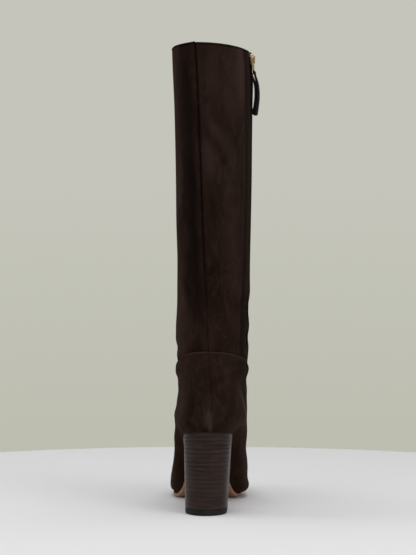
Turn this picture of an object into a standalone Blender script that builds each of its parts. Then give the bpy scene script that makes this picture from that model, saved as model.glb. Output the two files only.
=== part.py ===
"""Knee-high boot for the left foot, built as the pieces that a boot maker puts together.

Metres, +Z up. +Y points to the toe and +X to the inner side of the leg, where the zip runs.
The origin is the centre of the heel's ground face. Every curved piece is worked out from one
outer form, the last and leg that the boot is drawn over: a stack of rings that starts at the
feather line, where upper and sole meet, and ends at the collar.
"""

import math
from collections import namedtuple

import bmesh
import bpy
import numpy as np
from mathutils import Matrix, Vector

# Overall sizes
BOOT_HEIGHT = 0.468
FOOT_LENGTH = 0.229
BALL_WIDTH = 0.0838
TOE_SWING = 0.004

# Heel
HEEL_HEIGHT = 0.0836
SEAT_LENGTH = 0.053
SEAT_BACK_WIDTH = 0.0486
SEAT_FRONT_WIDTH = 0.0500
SEAT_ROUND = 0.0270
SEAT_PITCH = math.radians(9.0)
GROUND_LENGTH = 0.045
GROUND_BACK_WIDTH = 0.0420
GROUND_FRONT_WIDTH = 0.0428
GROUND_ROUND = 0.0240
HEEL_LEAN = 0.0018
HEEL_SETBACK = 0.0035
BREAST_CORNER = 0.0015
TOP_PIECE_THICKNESS = 0.0055

# Sole
SOLE_THICKNESS = 0.0036
SOLE_EDGE = 0.0008
TREAD_START = 0.136
TREAD_END = 0.162
TOE_SPRING = 0.0075
TOE_LIFT_POWER = 1.8
SHANK_SEAT_SLOPE = -0.20
INSOLE_THICKNESS = 0.0024

# Leg
ANKLE_RISE = 0.1164
COLLAR_DEPTH = 0.138
COLLAR_WIDTH = 0.0788
COLLAR_BACK = -0.014
COLLAR_TURN = math.radians(13.0)
CUP_SHIFT = 0.0068
LEG_SHIFT = 0.0070
BALL_SHIFT = 0.0033

# Places along a ring of the foot, as shares of its length
BALL_PLACE = 0.66
ARCH_PLACE = 0.44
ARCH_SPREAD = 0.13
OUTER_ARCH = 0.80

# Walls and clearances
FOOT_WALL = 0.0026
SHAFT_WALL = 0.0020
SEAM_STEP = 0.0009
SEAM_STEP_FADE = 0.010
PIECE_GAP = 0.0003
FEATHER_GAP = 0.0005

# Ankle seam: heights at the back and in front, and how fast it falls between them
SEAM_BACK = 0.163
SEAM_FRONT = 0.146
SEAM_FALL = 2.0

# Zip on the inner side
ZIP_PLACE = 0.0500
ZIP_BOTTOM = 0.108
SLOT_WIDTH = 0.0070
TAPE_WIDTH = 0.0100
TAPE_THICKNESS = 0.0007
TAPE_SPLIT = 0.0010
CHAIN_WIDTH = 0.0042
CHAIN_RECESS = 0.0004
STOP_LENGTH = 0.0024

# Zip slider and pull
SLIDER_DROP = 0.0025
SLIDER_LENGTH = 0.011
PLATE_WIDTH = 0.0085
PLATE_THICKNESS = 0.0013
PLATE_STAND = 0.0007
NECK_WIDTH = 0.0032
INNER_PLATE_THICKNESS = 0.0008
BRIDGE_WIDTH = 0.0022
BRIDGE_REACH = 0.0028
BRIDGE_BAR = 0.0009
BRIDGE_HALF_SPAN = 0.0044
INNER_PLATE_HALF_LENGTH = 0.00495
NECK_HALF_LENGTH = 0.00385
PULL_THICKNESS = 0.0011
PULL_LENGTH = 0.0180
PULL_TOP_WIDTH = 0.0062
PULL_FOOT_WIDTH = 0.0092
PULL_BAR = 0.0010
PULL_EYE_LENGTH = 0.0072
PULL_FOOT_BAR = 0.0019
STRAP_WIDTH = 0.0060
STRAP_THICKNESS = 0.0015
STRAP_LENGTH = 0.0440
STRAP_BOW = 0.0052
STRAP_TWIST = math.radians(-16.0)

# Smaller clearances and reaches
INSOLE_CLEARANCE = 0.0006
CUTTER_REACH = 0.006
TAPE_TAIL = 0.006
SECTION_CLEARANCE = 0.0018
TAPE_GAP = 0.0005
STRIP_CROWDING = 1.5

# Corner radii of the zip's small plates
PLATE_CORNER = 0.0022
INNER_PLATE_CORNER = 0.0016
NECK_CORNER = 0.0006
BRIDGE_CORNER = 0.0012
BRIDGE_HOLE_CORNER = 0.0005
BRIDGE_FOOT_CORNER = 0.0001
PULL_FOOT_CORNER = 0.0012
PULL_TOP_CORNER = 0.0020
PULL_EYE_CORNER = 0.0010
STRAP_SLOT_CORNER = 0.0005

# Finishes: colour, roughness and metallic value
Finish = namedtuple("Finish", ("colour", "roughness", "metallic"))
SUEDE = Finish((0.022, 0.012, 0.010), 0.92, 0.0)
SOLE_LEATHER = Finish((0.30, 0.13, 0.065), 0.55, 0.0)
LINING_LEATHER = Finish((0.33, 0.22, 0.14), 0.80, 0.0)
STACKED_LEATHER = Finish((0.030, 0.021, 0.018), 0.30, 0.0)
HEEL_RUBBER = Finish((0.015, 0.013, 0.012), 0.70, 0.0)
WOVEN_TAPE = Finish((0.010, 0.007, 0.006), 0.90, 0.0)
MOULDED_TEETH = Finish((0.012, 0.008, 0.006), 0.45, 0.0)
LIGHT_GOLD = Finish((0.72, 0.48, 0.20), 0.30, 1.0)
STRAP_LEATHER = Finish((0.020, 0.011, 0.009), 0.80, 0.0)

# How square the front of every ring is rounded
FRONT_SQUARE = 2.05

# Shares of the foot's rise by which the cup has its full shift, and past which the leg's begins
CUP_RISE = 0.25
SETTLE_RISE = 0.30

# How finely the forms are divided
COLUMNS = 52
UPPER_ROWS = 20
SHAFT_ROWS = 13
TAPE_ROWS = 26
CHAIN_ROWS = 28
SLOT_ROWS = 30
SLAB_STRIPS = 4
HEEL_SECTIONS = (0.35, 0.65)
HEEL_ROUND_STEPS = 20
BREAST_CORNER_STEPS = 4
SMALL_CORNER_STEPS = 3
BRIDGE_CORNER_STEPS = 4
STRAP_STEPS = 3
RING_SAMPLES = 160
RINGS_PER_ROW = 16
WELD_DISTANCE = 1e-6

# Rings of the foot, a row each from the feather line to the ankle. back and front are places along
# the foot as shares of FOOT_LENGTH. rise is the back point's height over the seat as a share of
# ANKLE_RISE, and climb the front point's height over the toe's feather line as a share of what
# is left up to the ankle. heel and ball are half widths as shares of BALL_WIDTH, and waist is the
# share of the ring's length where its side starts to widen from one to the other. heel_cap and
# toe_cap are the shares of the ring's length that round its two ends, square how square the heel's
# rounding is. arch is how far the sides draw in at the waist, and sag how far the ring follows
# the sole's curve.
FOOT_COLUMNS = (
    "back", "rise", "front", "climb", "heel", "ball", "waist", "heel_cap", "toe_cap", "square",
    "arch", "sag",
)
FOOT_RINGS = (
    (0.0105, 0.000, 0.9880, 0.000, 0.300, 0.447, 0.42, 0.19, 0.37, 3.20, 0.14, 1.00),
    (0.0095, 0.018, 0.9930, 0.011, 0.308, 0.458, 0.39, 0.19, 0.37, 3.10, 0.12, 1.00),
    (0.0045, 0.050, 0.9990, 0.032, 0.345, 0.492, 0.22, 0.20, 0.37, 2.70, 0.10, 1.00),
    (0.0010, 0.095, 1.0000, 0.064, 0.380, 0.500, 0.10, 0.21, 0.38, 2.50, 0.06, 0.85),
    (-0.0010, 0.175, 0.9660, 0.116, 0.400, 0.482, 0.02, 0.24, 0.42, 2.30, 0.03, 0.50),
    (0.0000, 0.285, 0.8650, 0.172, 0.396, 0.462, 0.00, 0.28, 0.45, 2.25, 0.01, 0.22),
    (0.0100, 0.405, 0.7200, 0.250, 0.388, 0.442, 0.00, 0.33, 0.46, 2.20, 0.00, 0.05),
    (0.0250, 0.535, 0.5900, 0.385, 0.392, 0.430, 0.00, 0.39, 0.47, 2.10, 0.00, 0.00),
    (0.0390, 0.675, 0.5000, 0.570, 0.410, 0.430, 0.00, 0.44, 0.49, 2.05, 0.00, 0.00),
    (0.0465, 0.825, 0.4500, 0.775, 0.430, 0.434, 0.00, 0.48, 0.50, 2.00, 0.00, 0.00),
    (0.0475, 1.000, 0.4300, 1.000, 0.434, 0.434, 0.00, 0.50, 0.50, 2.00, 0.00, 0.00),
)

# Rings of the leg, a row each from above the ankle to the collar. height is the share of the way
# from ankle to collar, back the share of the way that the back line has moved from the ankle's
# to COLLAR_BACK, depth and width the oval's sizes as shares of COLLAR_DEPTH and COLLAR_WIDTH,
# turn the share of COLLAR_TURN, and shift the share of LEG_SHIFT.
LEG_COLUMNS = ("height", "back", "depth", "width", "turn", "shift")
LEG_RINGS = (
    (0.110, 0.08, 0.652, 0.932, 0.66, 0.98),
    (0.225, 0.28, 0.694, 0.938, 0.76, 0.98),
    (0.350, 0.45, 0.752, 0.944, 0.84, 1.02),
    (0.490, 0.66, 0.814, 0.951, 0.89, 1.05),
    (0.640, 0.82, 0.878, 0.957, 0.92, 1.05),
    (0.790, 0.93, 0.935, 0.966, 0.96, 1.02),
    (0.910, 0.98, 0.975, 0.985, 0.99, 0.96),
    (1.000, 1.00, 1.000, 0.978, 1.00, 0.82),
)

# Share of COLLAR_TURN that the ring at the ankle already has, and the rings before it
ANKLE_TURNS = (0.00, 0.00, 0.00, 0.00, 0.00, 0.02, 0.08, 0.20, 0.34, 0.46, 0.57)

# The strap's middle line around the puller's foot: how far it stands out from the puller's plane
# as a share of STRAP_BOW, and how far down it runs as a share of STRAP_LENGTH
STRAP_COLUMNS = ("out", "down")
STRAP_LINE = (
    (0.00, -0.0240),
    (-0.24, -0.0185),
    (-0.31, 0.0070),
    (-0.30, 0.0500),
    (-0.04, 0.1350),
    (0.34, 0.2600),
    (0.56, 0.4300),
    (0.57, 0.6100),
    (0.38, 0.8000),
    (0.17, 0.9350),
    (0.24, 0.9740),
    (0.39, 0.9880),
    (0.54, 0.9740),
    (0.61, 0.9350),
    (0.82, 0.7800),
    (1.00, 0.6000),
    (1.00, 0.4300),
    (0.80, 0.2400),
    (0.50, 0.1150),
    (0.35, 0.0480),
    (0.33, 0.0070),
    (0.24, -0.0185),
)

HEEL_BACK = -(HEEL_SETBACK + GROUND_LENGTH / 2)
SLIDER_TOP = BOOT_HEIGHT - SLIDER_DROP
TOE_TIP = HEEL_BACK + FOOT_LENGTH
BREAST = HEEL_BACK + HEEL_SETBACK / 2 + SEAT_LENGTH
ANKLE_HEIGHT = HEEL_HEIGHT + ANKLE_RISE

# Turns of a flat plate: facing out of the leg, or standing square to it with its outline side on
UPRIGHT = Matrix(((0, 0, 1), (1, 0, 0), (0, 1, 0))).to_4x4()
SIDE_ON = Matrix(((1, 0, 0), (0, 0, -1), (0, 1, 0))).to_4x4()


def table(columns, rows):
    """Return the rows of a table as dictionaries keyed by the names of its columns."""
    return [dict(zip(columns, row)) for row in rows]


def ease(share):
    """Return a share from 0 to 1 that starts and ends gently."""
    held = np.clip(share, 0.0, 1.0)
    return held * held * (3.0 - 2.0 * held)


def seat_line(y):
    """Return the height of the sloping heel seat at a place along the foot."""
    return HEEL_HEIGHT - math.tan(SEAT_PITCH) * (y - HEEL_BACK)


def sole_top(y):
    """Return the height of the face that the upper stands on: seat, shank, tread and toe."""
    y = np.asarray(y, dtype=float)
    tread_start = HEEL_BACK + TREAD_START
    tread_end = HEEL_BACK + TREAD_END
    span = tread_start - BREAST
    share = np.clip((y - BREAST) / span, 0.0, 1.0)
    drop = seat_line(BREAST) - SOLE_THICKNESS
    shank = SOLE_THICKNESS + drop * (2 * share**3 - 3 * share**2 + 1)
    shank = shank + SHANK_SEAT_SLOPE * span * share * (1 - share) ** 2
    toe_share = np.clip((y - tread_end) / (TOE_TIP - tread_end), 0.0, 1.2)
    toe = SOLE_THICKNESS + TOE_SPRING * toe_share**TOE_LIFT_POWER
    return np.where(y < BREAST, seat_line(y), np.where(y < tread_start, shank, toe))


def sole_underside(y):
    """Return the height of the sole's ground side, its thickness measured square to the curve."""
    step = 0.0005
    slope = (sole_top(y + step) - sole_top(y - step)) / (2 * step)
    tread_start = HEEL_BACK + TREAD_START
    tread_end = HEEL_BACK + TREAD_END
    height = sole_top(y) - SOLE_THICKNESS * np.sqrt(1 + slope * slope)
    return np.where((y > tread_start) & (y < tread_end), 0.0, np.maximum(height, 0.0))


def ring_rows():
    """Return every ring's sizes in metres, the foot's rows first and then the leg's."""
    toe_feather = float(sole_top(TOE_TIP)) + FEATHER_GAP
    rows = []
    for ring, turn in zip(table(FOOT_COLUMNS, FOOT_RINGS), ANKLE_TURNS):
        back = HEEL_BACK + ring["back"] * FOOT_LENGTH
        settle = ease((ring["rise"] - SETTLE_RISE) / (1 - SETTLE_RISE))
        rows.append((
            back,
            float(seat_line(back)) + FEATHER_GAP + ring["rise"] * (ANKLE_HEIGHT - seat_line(back)),
            HEEL_BACK + ring["front"] * FOOT_LENGTH,
            toe_feather + ring["climb"] * (ANKLE_HEIGHT - toe_feather),
            ring["heel"] * BALL_WIDTH,
            ring["ball"] * BALL_WIDTH,
            ring["waist"],
            ring["heel_cap"],
            ring["toe_cap"],
            ring["square"],
            ring["arch"],
            ring["sag"],
            HEEL_LEAN + (CUP_SHIFT - HEEL_LEAN) * ease(ring["rise"] / CUP_RISE)
            + (LEG_SHIFT - CUP_SHIFT) * settle,
            (BALL_SHIFT - CUP_SHIFT) * (1 - settle),
            turn * COLLAR_TURN,
        ))
    ankle_back = rows[-1][0]
    leg_height = BOOT_HEIGHT - ANKLE_HEIGHT
    collar_back = HEEL_BACK + COLLAR_BACK
    for ring in table(LEG_COLUMNS, LEG_RINGS):
        back = ankle_back + ring["back"] * (collar_back - ankle_back)
        height = ANKLE_HEIGHT + ring["height"] * leg_height
        half_width = ring["width"] * COLLAR_WIDTH / 2
        rows.append((
            back,
            height,
            back + ring["depth"] * COLLAR_DEPTH,
            height,
            half_width,
            half_width,
            0.0,
            0.5,
            0.5,
            2.0,
            0.0,
            0.0,
            ring["shift"] * LEG_SHIFT,
            0.0,
            ring["turn"] * COLLAR_TURN,
        ))
    return np.array(rows)


def ring_sizes(rows, place):
    """Return the ring sizes at a place between rows, on a smooth curve through all of them."""
    index = min(int(place), len(rows) - 2)
    share = place - index
    before = rows[max(index - 1, 0)]
    low = rows[index]
    high = rows[index + 1]
    after = rows[min(index + 2, len(rows) - 1)]
    low_slope = (high - before) / 2
    high_slope = (after - low) / 2
    return (
        (2 * share**3 - 3 * share**2 + 1) * low
        + (share**3 - 2 * share**2 + share) * low_slope
        + (3 * share**2 - 2 * share**3) * high
        + (share**3 - share**2) * high_slope
    )


def end_round(share, square):
    """Return how full a ring is near its end, from 0 at the tip to 1 where the side begins."""
    held = np.clip(share, 0.0, 1.0)
    return (1 - (1 - held) ** square) ** (1 / square)


def ring_side(sizes, along, side):
    """Return the points of one side of a ring, at shares of its length from back to front."""
    (back, back_height, front, front_height, heel, ball, waist, heel_cap, toe_cap, square, arch,
     sag, middle, swing, turn) = sizes
    width = heel + (ball - heel) * ease((along - waist) / (BALL_PLACE - waist))
    pinch = arch if side > 0 else OUTER_ARCH * arch
    width = width * (1 - pinch * np.exp(-(((along - ARCH_PLACE) / ARCH_SPREAD) ** 2)))
    width = width * end_round(along / heel_cap, square) * end_round((1 - along) / toe_cap, FRONT_SQUARE)
    y = back + along * (front - back)
    foot_share = np.clip(-swing / (CUP_SHIFT - BALL_SHIFT), 0.0, 1.0)
    tip = TOE_SWING * foot_share * np.clip((along - BALL_PLACE) / (1 - BALL_PLACE), 0.0, 1.0) ** 2
    x = side * width + swing * ease(along / BALL_PLACE) + tip
    straight = sole_top(back) + along * (sole_top(front) - sole_top(back))
    z = back_height + along * (front_height - back_height) + sag * (sole_top(y) - straight)
    centre = (back + front) / 2
    turned_x = middle + x * math.cos(turn) + (y - centre) * math.sin(turn)
    turned_y = centre - x * math.sin(turn) + (y - centre) * math.cos(turn)
    return np.stack([turned_x, turned_y, z], axis=1)


def ring(sizes, columns):
    """Return evenly spaced points around a ring: back, inner side, front, outer side."""
    along = (1 - np.cos(np.linspace(0, math.pi, RING_SAMPLES))) / 2
    halves = []
    for side in (1, -1):
        points = ring_side(sizes, along, side)
        steps = np.linalg.norm(np.diff(points, axis=0), axis=1)
        run = np.concatenate([[0.0], np.cumsum(steps)])
        wanted = np.linspace(0, run[-1], columns // 2 + 1)
        halves.append(np.stack([np.interp(wanted, run, points[:, axis]) for axis in range(3)], axis=1))
    inner, outer = halves
    return np.concatenate([inner, outer[-2:0:-1]])


class Form:
    """The outer form as a fine net of rings, read by place between rings and by height."""

    def __init__(self, columns):
        rows = ring_rows()
        self.rows = rows
        self.places = np.linspace(0, len(rows) - 1, (len(rows) - 1) * RINGS_PER_ROW + 1)
        self.net = np.array([ring(ring_sizes(rows, place), columns) for place in self.places])
        around = np.roll(self.net, -1, axis=1) - np.roll(self.net, 1, axis=1)
        upward = np.gradient(self.net, axis=0)
        normals = np.cross(around, upward)
        self.normals = normals / np.linalg.norm(normals, axis=2, keepdims=True)
        self.columns = columns

    def read(self, column, place):
        """Return a column's point and outward normal at places between the rings."""
        point = np.array([np.interp(place, self.places, self.net[:, column, axis]) for axis in range(3)])
        normal = np.array(
            [np.interp(place, self.places, self.normals[:, column, axis]) for axis in range(3)]
        )
        return point.T, (normal / np.linalg.norm(normal, axis=0)).T

    def place_at_height(self, column, height):
        """Return the place between rings where a column reaches a height."""
        return float(np.interp(height, self.net[:, column, 2], self.places))

    def inner_side(self, y, height):
        """Return the point and outward normal on the inner side at a place and a height."""
        half = self.columns // 2 + 1
        points = []
        normals = []
        for column in range(half):
            point, normal = self.read(column, self.place_at_height(column, height))
            points.append(point)
            normals.append(normal)
        points = np.array(points)
        normals = np.array(normals)
        order = np.argsort(points[:, 1])
        x = np.interp(y, points[order, 1], points[order, 0])
        normal = np.array([np.interp(y, points[order, 1], normals[order, axis]) for axis in range(3)])
        return np.array([x, y, height]), normal / np.linalg.norm(normal)


def seam_height(column, columns):
    """Return the ankle seam's height on a column, falling from the back to the front."""
    around = 2 * math.pi * column / columns
    return SEAM_FRONT + (SEAM_BACK - SEAM_FRONT) * ((1 + math.cos(around)) / 2) ** SEAM_FALL


def new_object(name, mesh, collection, finish):
    """Link a mesh as an object in a collection, with a plain material of its own."""
    material = bpy.data.materials.new(name)
    material.use_nodes = True
    shader = material.node_tree.nodes["Principled BSDF"]
    shader.inputs["Base Color"].default_value = (*finish.colour, 1.0)
    shader.inputs["Roughness"].default_value = finish.roughness
    shader.inputs["Metallic"].default_value = finish.metallic
    mesh.materials.append(material)
    item = bpy.data.objects.new(name, mesh)
    collection.objects.link(item)
    return item


def mesh_from(name, points, faces):
    """Return a mesh from points and faces, its faces turned outward."""
    mesh = bpy.data.meshes.new(name)
    mesh.from_pydata([tuple(point) for point in points], [], faces)
    work = bmesh.new()
    work.from_mesh(mesh)
    bmesh.ops.remove_doubles(work, verts=work.verts, dist=WELD_DISTANCE)
    bmesh.ops.recalc_face_normals(work, faces=work.faces)
    work.to_mesh(mesh)
    work.free()
    return mesh


def loft(name, sections, cap_start=True, cap_end=True):
    """Return a closed mesh through sections that all have the same number of points."""
    count = len(sections[0])
    points = [point for section in sections for point in section]
    faces = []
    for row in range(len(sections) - 1):
        for step in range(count):
            turn = (step + 1) % count
            faces.append((row * count + step, row * count + turn,
                          (row + 1) * count + turn, (row + 1) * count + step))
    if cap_start:
        faces.append(tuple(range(count)))
    if cap_end:
        faces.append(tuple((len(sections) - 1) * count + step for step in range(count)))
    return mesh_from(name, points, faces)


def sheet(name, form, low_places, high_places, rows, outward):
    """Return an open sheet of the outer form between two places on every column.

    outward is how far the sheet stands out of the form at the ankle seam. The step fades with the
    distance from it.
    """
    columns = form.columns
    points = []
    for row in range(rows + 1):
        share = row / rows
        for column in range(columns):
            place = low_places[column] + share * (high_places[column] - low_places[column])
            point, normal = form.read(column, place)
            away = abs(point[2] - seam_height(column, columns))
            points.append(point + normal * outward * math.exp(-away / SEAM_STEP_FADE))
    faces = []
    for row in range(rows):
        for column in range(columns):
            turn = (column + 1) % columns
            faces.append((row * columns + column, row * columns + turn,
                          (row + 1) * columns + turn, (row + 1) * columns + column))
    mesh = bpy.data.meshes.new(name)
    mesh.from_pydata([tuple(point) for point in points], [], faces)
    return mesh


def wall_depth(height):
    """Return how deep the inner face of the wall lies under the outer form along the zip."""
    seam = seam_height(COLUMNS // 4, COLUMNS)
    fade = math.exp(-abs(height - seam) / SEAM_STEP_FADE)
    shaft = SHAFT_WALL + SEAM_STEP / 2 * fade
    foot = FOOT_WALL - SEAM_STEP / 2 * fade
    return shaft if height > seam else max(foot, SHAFT_WALL + SEAM_STEP / 2)


def tape_face(height):
    """Return how deep the zip tapes' outer face lies under the outer form."""
    return wall_depth(height) + TAPE_GAP


def tape_back(height):
    """Return how deep the zip tapes' inner face lies under the outer form."""
    return tape_face(height) + TAPE_THICKNESS


def chain_face(height):
    """Return how deep the closed teeth lie under the outer form, the same at every height."""
    return CHAIN_RECESS


def strip(name, form, low, high, rows, offsets, outer_depth, inner_depth):
    """Return a closed ribbon that follows the inner side of the leg along the zip.

    offsets are places across it, measured from the zip's middle. The depths are functions of the
    height, measured inward from the outer form.
    """
    sections = []
    for row in range(rows + 1):
        height = low + (high - low) * (row / rows) ** STRIP_CROWDING
        outer = []
        inner = []
        for offset in offsets:
            point, normal = form.inner_side(HEEL_BACK + ZIP_PLACE + offset, height)
            outer.append(point - normal * outer_depth(height))
            inner.append(point - normal * inner_depth(height))
        sections.append(outer + inner[::-1])
    return loft(name, sections)


def rounded_outline(corners, radii, steps):
    """Return a flat outline whose corners are rounded by arcs of the given radii."""
    outline = []
    count = len(corners)
    for index in range(count):
        corner = Vector(corners[index])
        before = (Vector(corners[index - 1]) - corner).normalized()
        after = (Vector(corners[(index + 1) % count]) - corner).normalized()
        half = before.angle(after) / 2
        radius = radii[index]
        reach = radius / math.tan(half)
        start = corner + before * reach
        end = corner + after * reach
        centre = corner + (before + after).normalized() * (radius / math.sin(half))
        for step in range(steps + 1):
            share = step / steps
            spoke = (start - centre).lerp(end - centre, share).normalized() * radius
            outline.append(centre + spoke)
    return outline


def heel_outline(share):
    """Return the heel's outline in plan, from the ground at 0 to the seat at 1."""
    back_half = (GROUND_BACK_WIDTH + share * (SEAT_BACK_WIDTH - GROUND_BACK_WIDTH)) / 2
    front_half = (GROUND_FRONT_WIDTH + share * (SEAT_FRONT_WIDTH - GROUND_FRONT_WIDTH)) / 2
    back = HEEL_BACK + HEEL_SETBACK * (1 - share / 2)
    front = back + GROUND_LENGTH + share * (SEAT_LENGTH - GROUND_LENGTH)
    depth = GROUND_ROUND + share * (SEAT_ROUND - GROUND_ROUND)
    middle = HEEL_LEAN * share
    widest = back + depth
    corners = (
        (middle - back_half, widest),
        (middle + back_half, widest),
        (middle + front_half, front),
        (middle - front_half, front),
    )
    radii = (0.0, 0.0, BREAST_CORNER, BREAST_CORNER)
    sides = rounded_outline(corners, radii, BREAST_CORNER_STEPS)
    turns = np.linspace(0.0, math.pi, HEEL_ROUND_STEPS + 1)
    round_back = [
        Vector((middle - back_half * math.cos(turn), widest - depth * math.sin(turn))) for turn in turns
    ]
    return round_back + sides[2 * (BREAST_CORNER_STEPS + 1):]


def heel_block(name, low, high):
    """Return a stretch of the heel between two heights over the ground."""
    sections = []
    for height in (low, high):
        share = height / HEEL_HEIGHT
        sections.append([(point.x, point.y, height) for point in heel_outline(share)])
    return loft(name, sections)


def heel_to_seat(name, low):
    """Return the heel from a height over the ground up to its sloping seat."""
    sections = []
    for share in (low / HEEL_HEIGHT, *HEEL_SECTIONS):
        sections.append([(point.x, point.y, share * HEEL_HEIGHT) for point in heel_outline(share)])
    sections.append([(point.x, point.y, float(seat_line(point.y))) for point in heel_outline(1.0)])
    return loft(name, sections)


def insole_low(y):
    """Return the height of the insole's underside."""
    return sole_top(y) + FEATHER_GAP


def insole_high(y):
    """Return the height of the insole's upper face."""
    return insole_low(y) + INSOLE_THICKNESS


def feather_outline(form, outward):
    """Return the feather line in plan, moved outward square to itself."""
    flat = form.net[0][:, :2]
    run = np.roll(flat, -1, axis=0) - np.roll(flat, 1, axis=0)
    run = run / np.linalg.norm(run, axis=1, keepdims=True)
    square = np.stack([run[:, 1], -run[:, 0]], axis=1)
    return flat + square * outward


def pair_at(pairs, y):
    """Return the inner and outer edge of an outline at a place along the foot."""
    edges = []
    for side in (0, 1):
        places = [pair[side][1] for pair in pairs]
        widths = [pair[side][0] for pair in pairs]
        edges.append(np.array([np.interp(y, places, widths), y]))
    return tuple(edges)


def slab(name, outline, start, low, high):
    """Return a closed slab inside an outline in plan, between two heights given as functions.

    start is where it begins along the foot. Each section runs from the inner edge to the outer,
    and there is one wherever the sole's curve changes.
    """
    half = len(outline) // 2
    pairs = [(outline[step], outline[-step % len(outline)]) for step in range(half + 1)]
    changes = [BREAST, HEEL_BACK + TREAD_START, HEEL_BACK + TREAD_END]
    open_start = start > pairs[0][0][1]
    if open_start:
        changes = [start] + changes
    kept = [pair for pair in pairs if pair[0][1] > start or not open_start]
    for change in changes:
        if change < start:
            continue
        kept = [pair for pair in kept if abs(pair[0][1] - change) > SECTION_CLEARANCE]
        kept.append(pair_at(pairs, change))
    kept.sort(key=lambda pair: pair[0][1])
    sections = []
    for inner, outer in kept:
        line = [inner + (outer - inner) * step / SLAB_STRIPS for step in range(SLAB_STRIPS + 1)]
        top = [(x, y, float(high(y))) for x, y in line]
        bottom = [(x, y, float(low(y))) for x, y in line]
        sections.append(top + bottom[::-1])
    return loft(name, sections, cap_start=open_start, cap_end=False)


def plate(name, outlines, thickness, matrix):
    """Return a flat plate with holes from closed outlines, its thickness centred on their plane."""
    curve = bpy.data.curves.new(name, "CURVE")
    curve.dimensions = "2D"
    curve.fill_mode = "BOTH"
    curve.extrude = thickness / 2
    for outline in outlines:
        spline = curve.splines.new("POLY")
        spline.points.add(len(outline) - 1)
        for point, place in zip(spline.points, outline):
            point.co = (place[0], place[1], 0.0, 1.0)
        spline.use_cyclic_u = True
    item = bpy.data.objects.new(name, curve)
    bpy.context.scene.collection.objects.link(item)
    bpy.context.view_layer.update()
    evaluated = item.evaluated_get(bpy.context.evaluated_depsgraph_get())
    mesh = bpy.data.meshes.new_from_object(evaluated)
    bpy.data.objects.remove(item)
    bpy.data.curves.remove(curve)
    work = bmesh.new()
    work.from_mesh(mesh)
    bmesh.ops.remove_doubles(work, verts=work.verts, dist=WELD_DISTANCE)
    bmesh.ops.recalc_face_normals(work, faces=work.faces)
    work.to_mesh(mesh)
    work.free()
    mesh.transform(matrix)
    mesh.name = name
    mesh.materials.clear()
    return mesh


def closed_curve(points, steps):
    """Return a smooth closed line through unevenly spaced points, with steps places between two."""
    points = [Vector(point) for point in points]
    count = len(points)
    spans = [(points[(index + 1) % count] - points[index]).length for index in range(count)]
    slopes = []
    for index in range(count):
        ahead = (points[(index + 1) % count] - points[index]) / spans[index]
        behind = (points[index] - points[index - 1]) / spans[index - 1]
        total = spans[index] + spans[index - 1]
        slopes.append((ahead * spans[index - 1] + behind * spans[index]) / total)
    line = []
    for index in range(count):
        turn = (index + 1) % count
        for step in range(steps):
            share = step / steps
            line.append(
                points[index] * (2 * share**3 - 3 * share**2 + 1)
                + slopes[index] * spans[index] * (share**3 - 2 * share**2 + share)
                + points[turn] * (3 * share**2 - 2 * share**3)
                + slopes[turn] * spans[index] * (share**3 - share**2)
            )
    return line


def moved_line(line, outward):
    """Return a closed flat line moved square to itself."""
    moved = []
    for index, point in enumerate(line):
        run = (line[(index + 1) % len(line)] - line[index - 1]).normalized()
        moved.append(point + Vector((run.y, -run.x)) * outward)
    return moved


def cutter(name, mesh, collection):
    """Link a mesh as a hidden cutter."""
    item = bpy.data.objects.new(name, mesh)
    collection.objects.link(item)
    item.hide_render = True
    item.display_type = "WIRE"
    return item


def add_boolean(item, other, operation):
    """Add a Boolean modifier that cuts or joins another object."""
    modifier = item.modifiers.new(other.name, "BOOLEAN")
    modifier.operation = operation
    modifier.object = other


def add_wall(item, thickness):
    """Give an open sheet its wall, grown inward."""
    modifier = item.modifiers.new("wall", "SOLIDIFY")
    modifier.thickness = thickness
    modifier.offset = -1.0
    modifier.use_even_offset = True


def build_wall_pieces(form, boot, cutters):
    """Build the upper and the shaft, and cut the zip's slot through both."""
    columns = form.columns
    half_gap = PIECE_GAP / 2
    upper_top = []
    shaft_low = []
    for column in range(columns):
        height = seam_height(column, columns)
        upper_top.append(form.place_at_height(column, height - half_gap))
        shaft_low.append(form.place_at_height(column, height + half_gap))
    last = [float(form.places[-1])] * columns
    upper_mesh = sheet("upper", form, [0.0] * columns, upper_top, UPPER_ROWS, SEAM_STEP / 2)
    shaft_mesh = sheet("shaft", form, shaft_low, last, SHAFT_ROWS, -SEAM_STEP / 2)
    upper = new_object("upper", upper_mesh, boot, SUEDE)
    shaft = new_object("shaft", shaft_mesh, boot, SUEDE)
    add_wall(upper, FOOT_WALL)
    add_wall(shaft, SHAFT_WALL)
    slot_mesh = strip(
        "zip_slot", form, ZIP_BOTTOM, BOOT_HEIGHT + CUTTER_REACH, SLOT_ROWS,
        (-SLOT_WIDTH / 2, SLOT_WIDTH / 2),
        lambda height: -CUTTER_REACH, lambda height: CUTTER_REACH,
    )
    slot = cutter("zip_slot", slot_mesh, cutters)
    add_boolean(upper, slot, "DIFFERENCE")
    add_boolean(shaft, slot, "DIFFERENCE")


def build_bottom(form, boot):
    """Build the outsole, the insole and the heel with its rubber top piece."""
    outsole = slab(
        "outsole", feather_outline(form, SOLE_EDGE), BREAST + PIECE_GAP, sole_underside, sole_top,
    )
    new_object("outsole", outsole, boot, SOLE_LEATHER)
    inset = FOOT_WALL + INSOLE_CLEARANCE
    insole = slab("insole", feather_outline(form, -inset), -math.inf, insole_low, insole_high)
    new_object("insole", insole, boot, LINING_LEATHER)
    top_piece = heel_block("heel_top_piece", 0.0, TOP_PIECE_THICKNESS)
    new_object("heel_top_piece", top_piece, boot, HEEL_RUBBER)
    heel = heel_to_seat("heel", TOP_PIECE_THICKNESS + PIECE_GAP)
    new_object("heel", heel, boot, STACKED_LEATHER)


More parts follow.
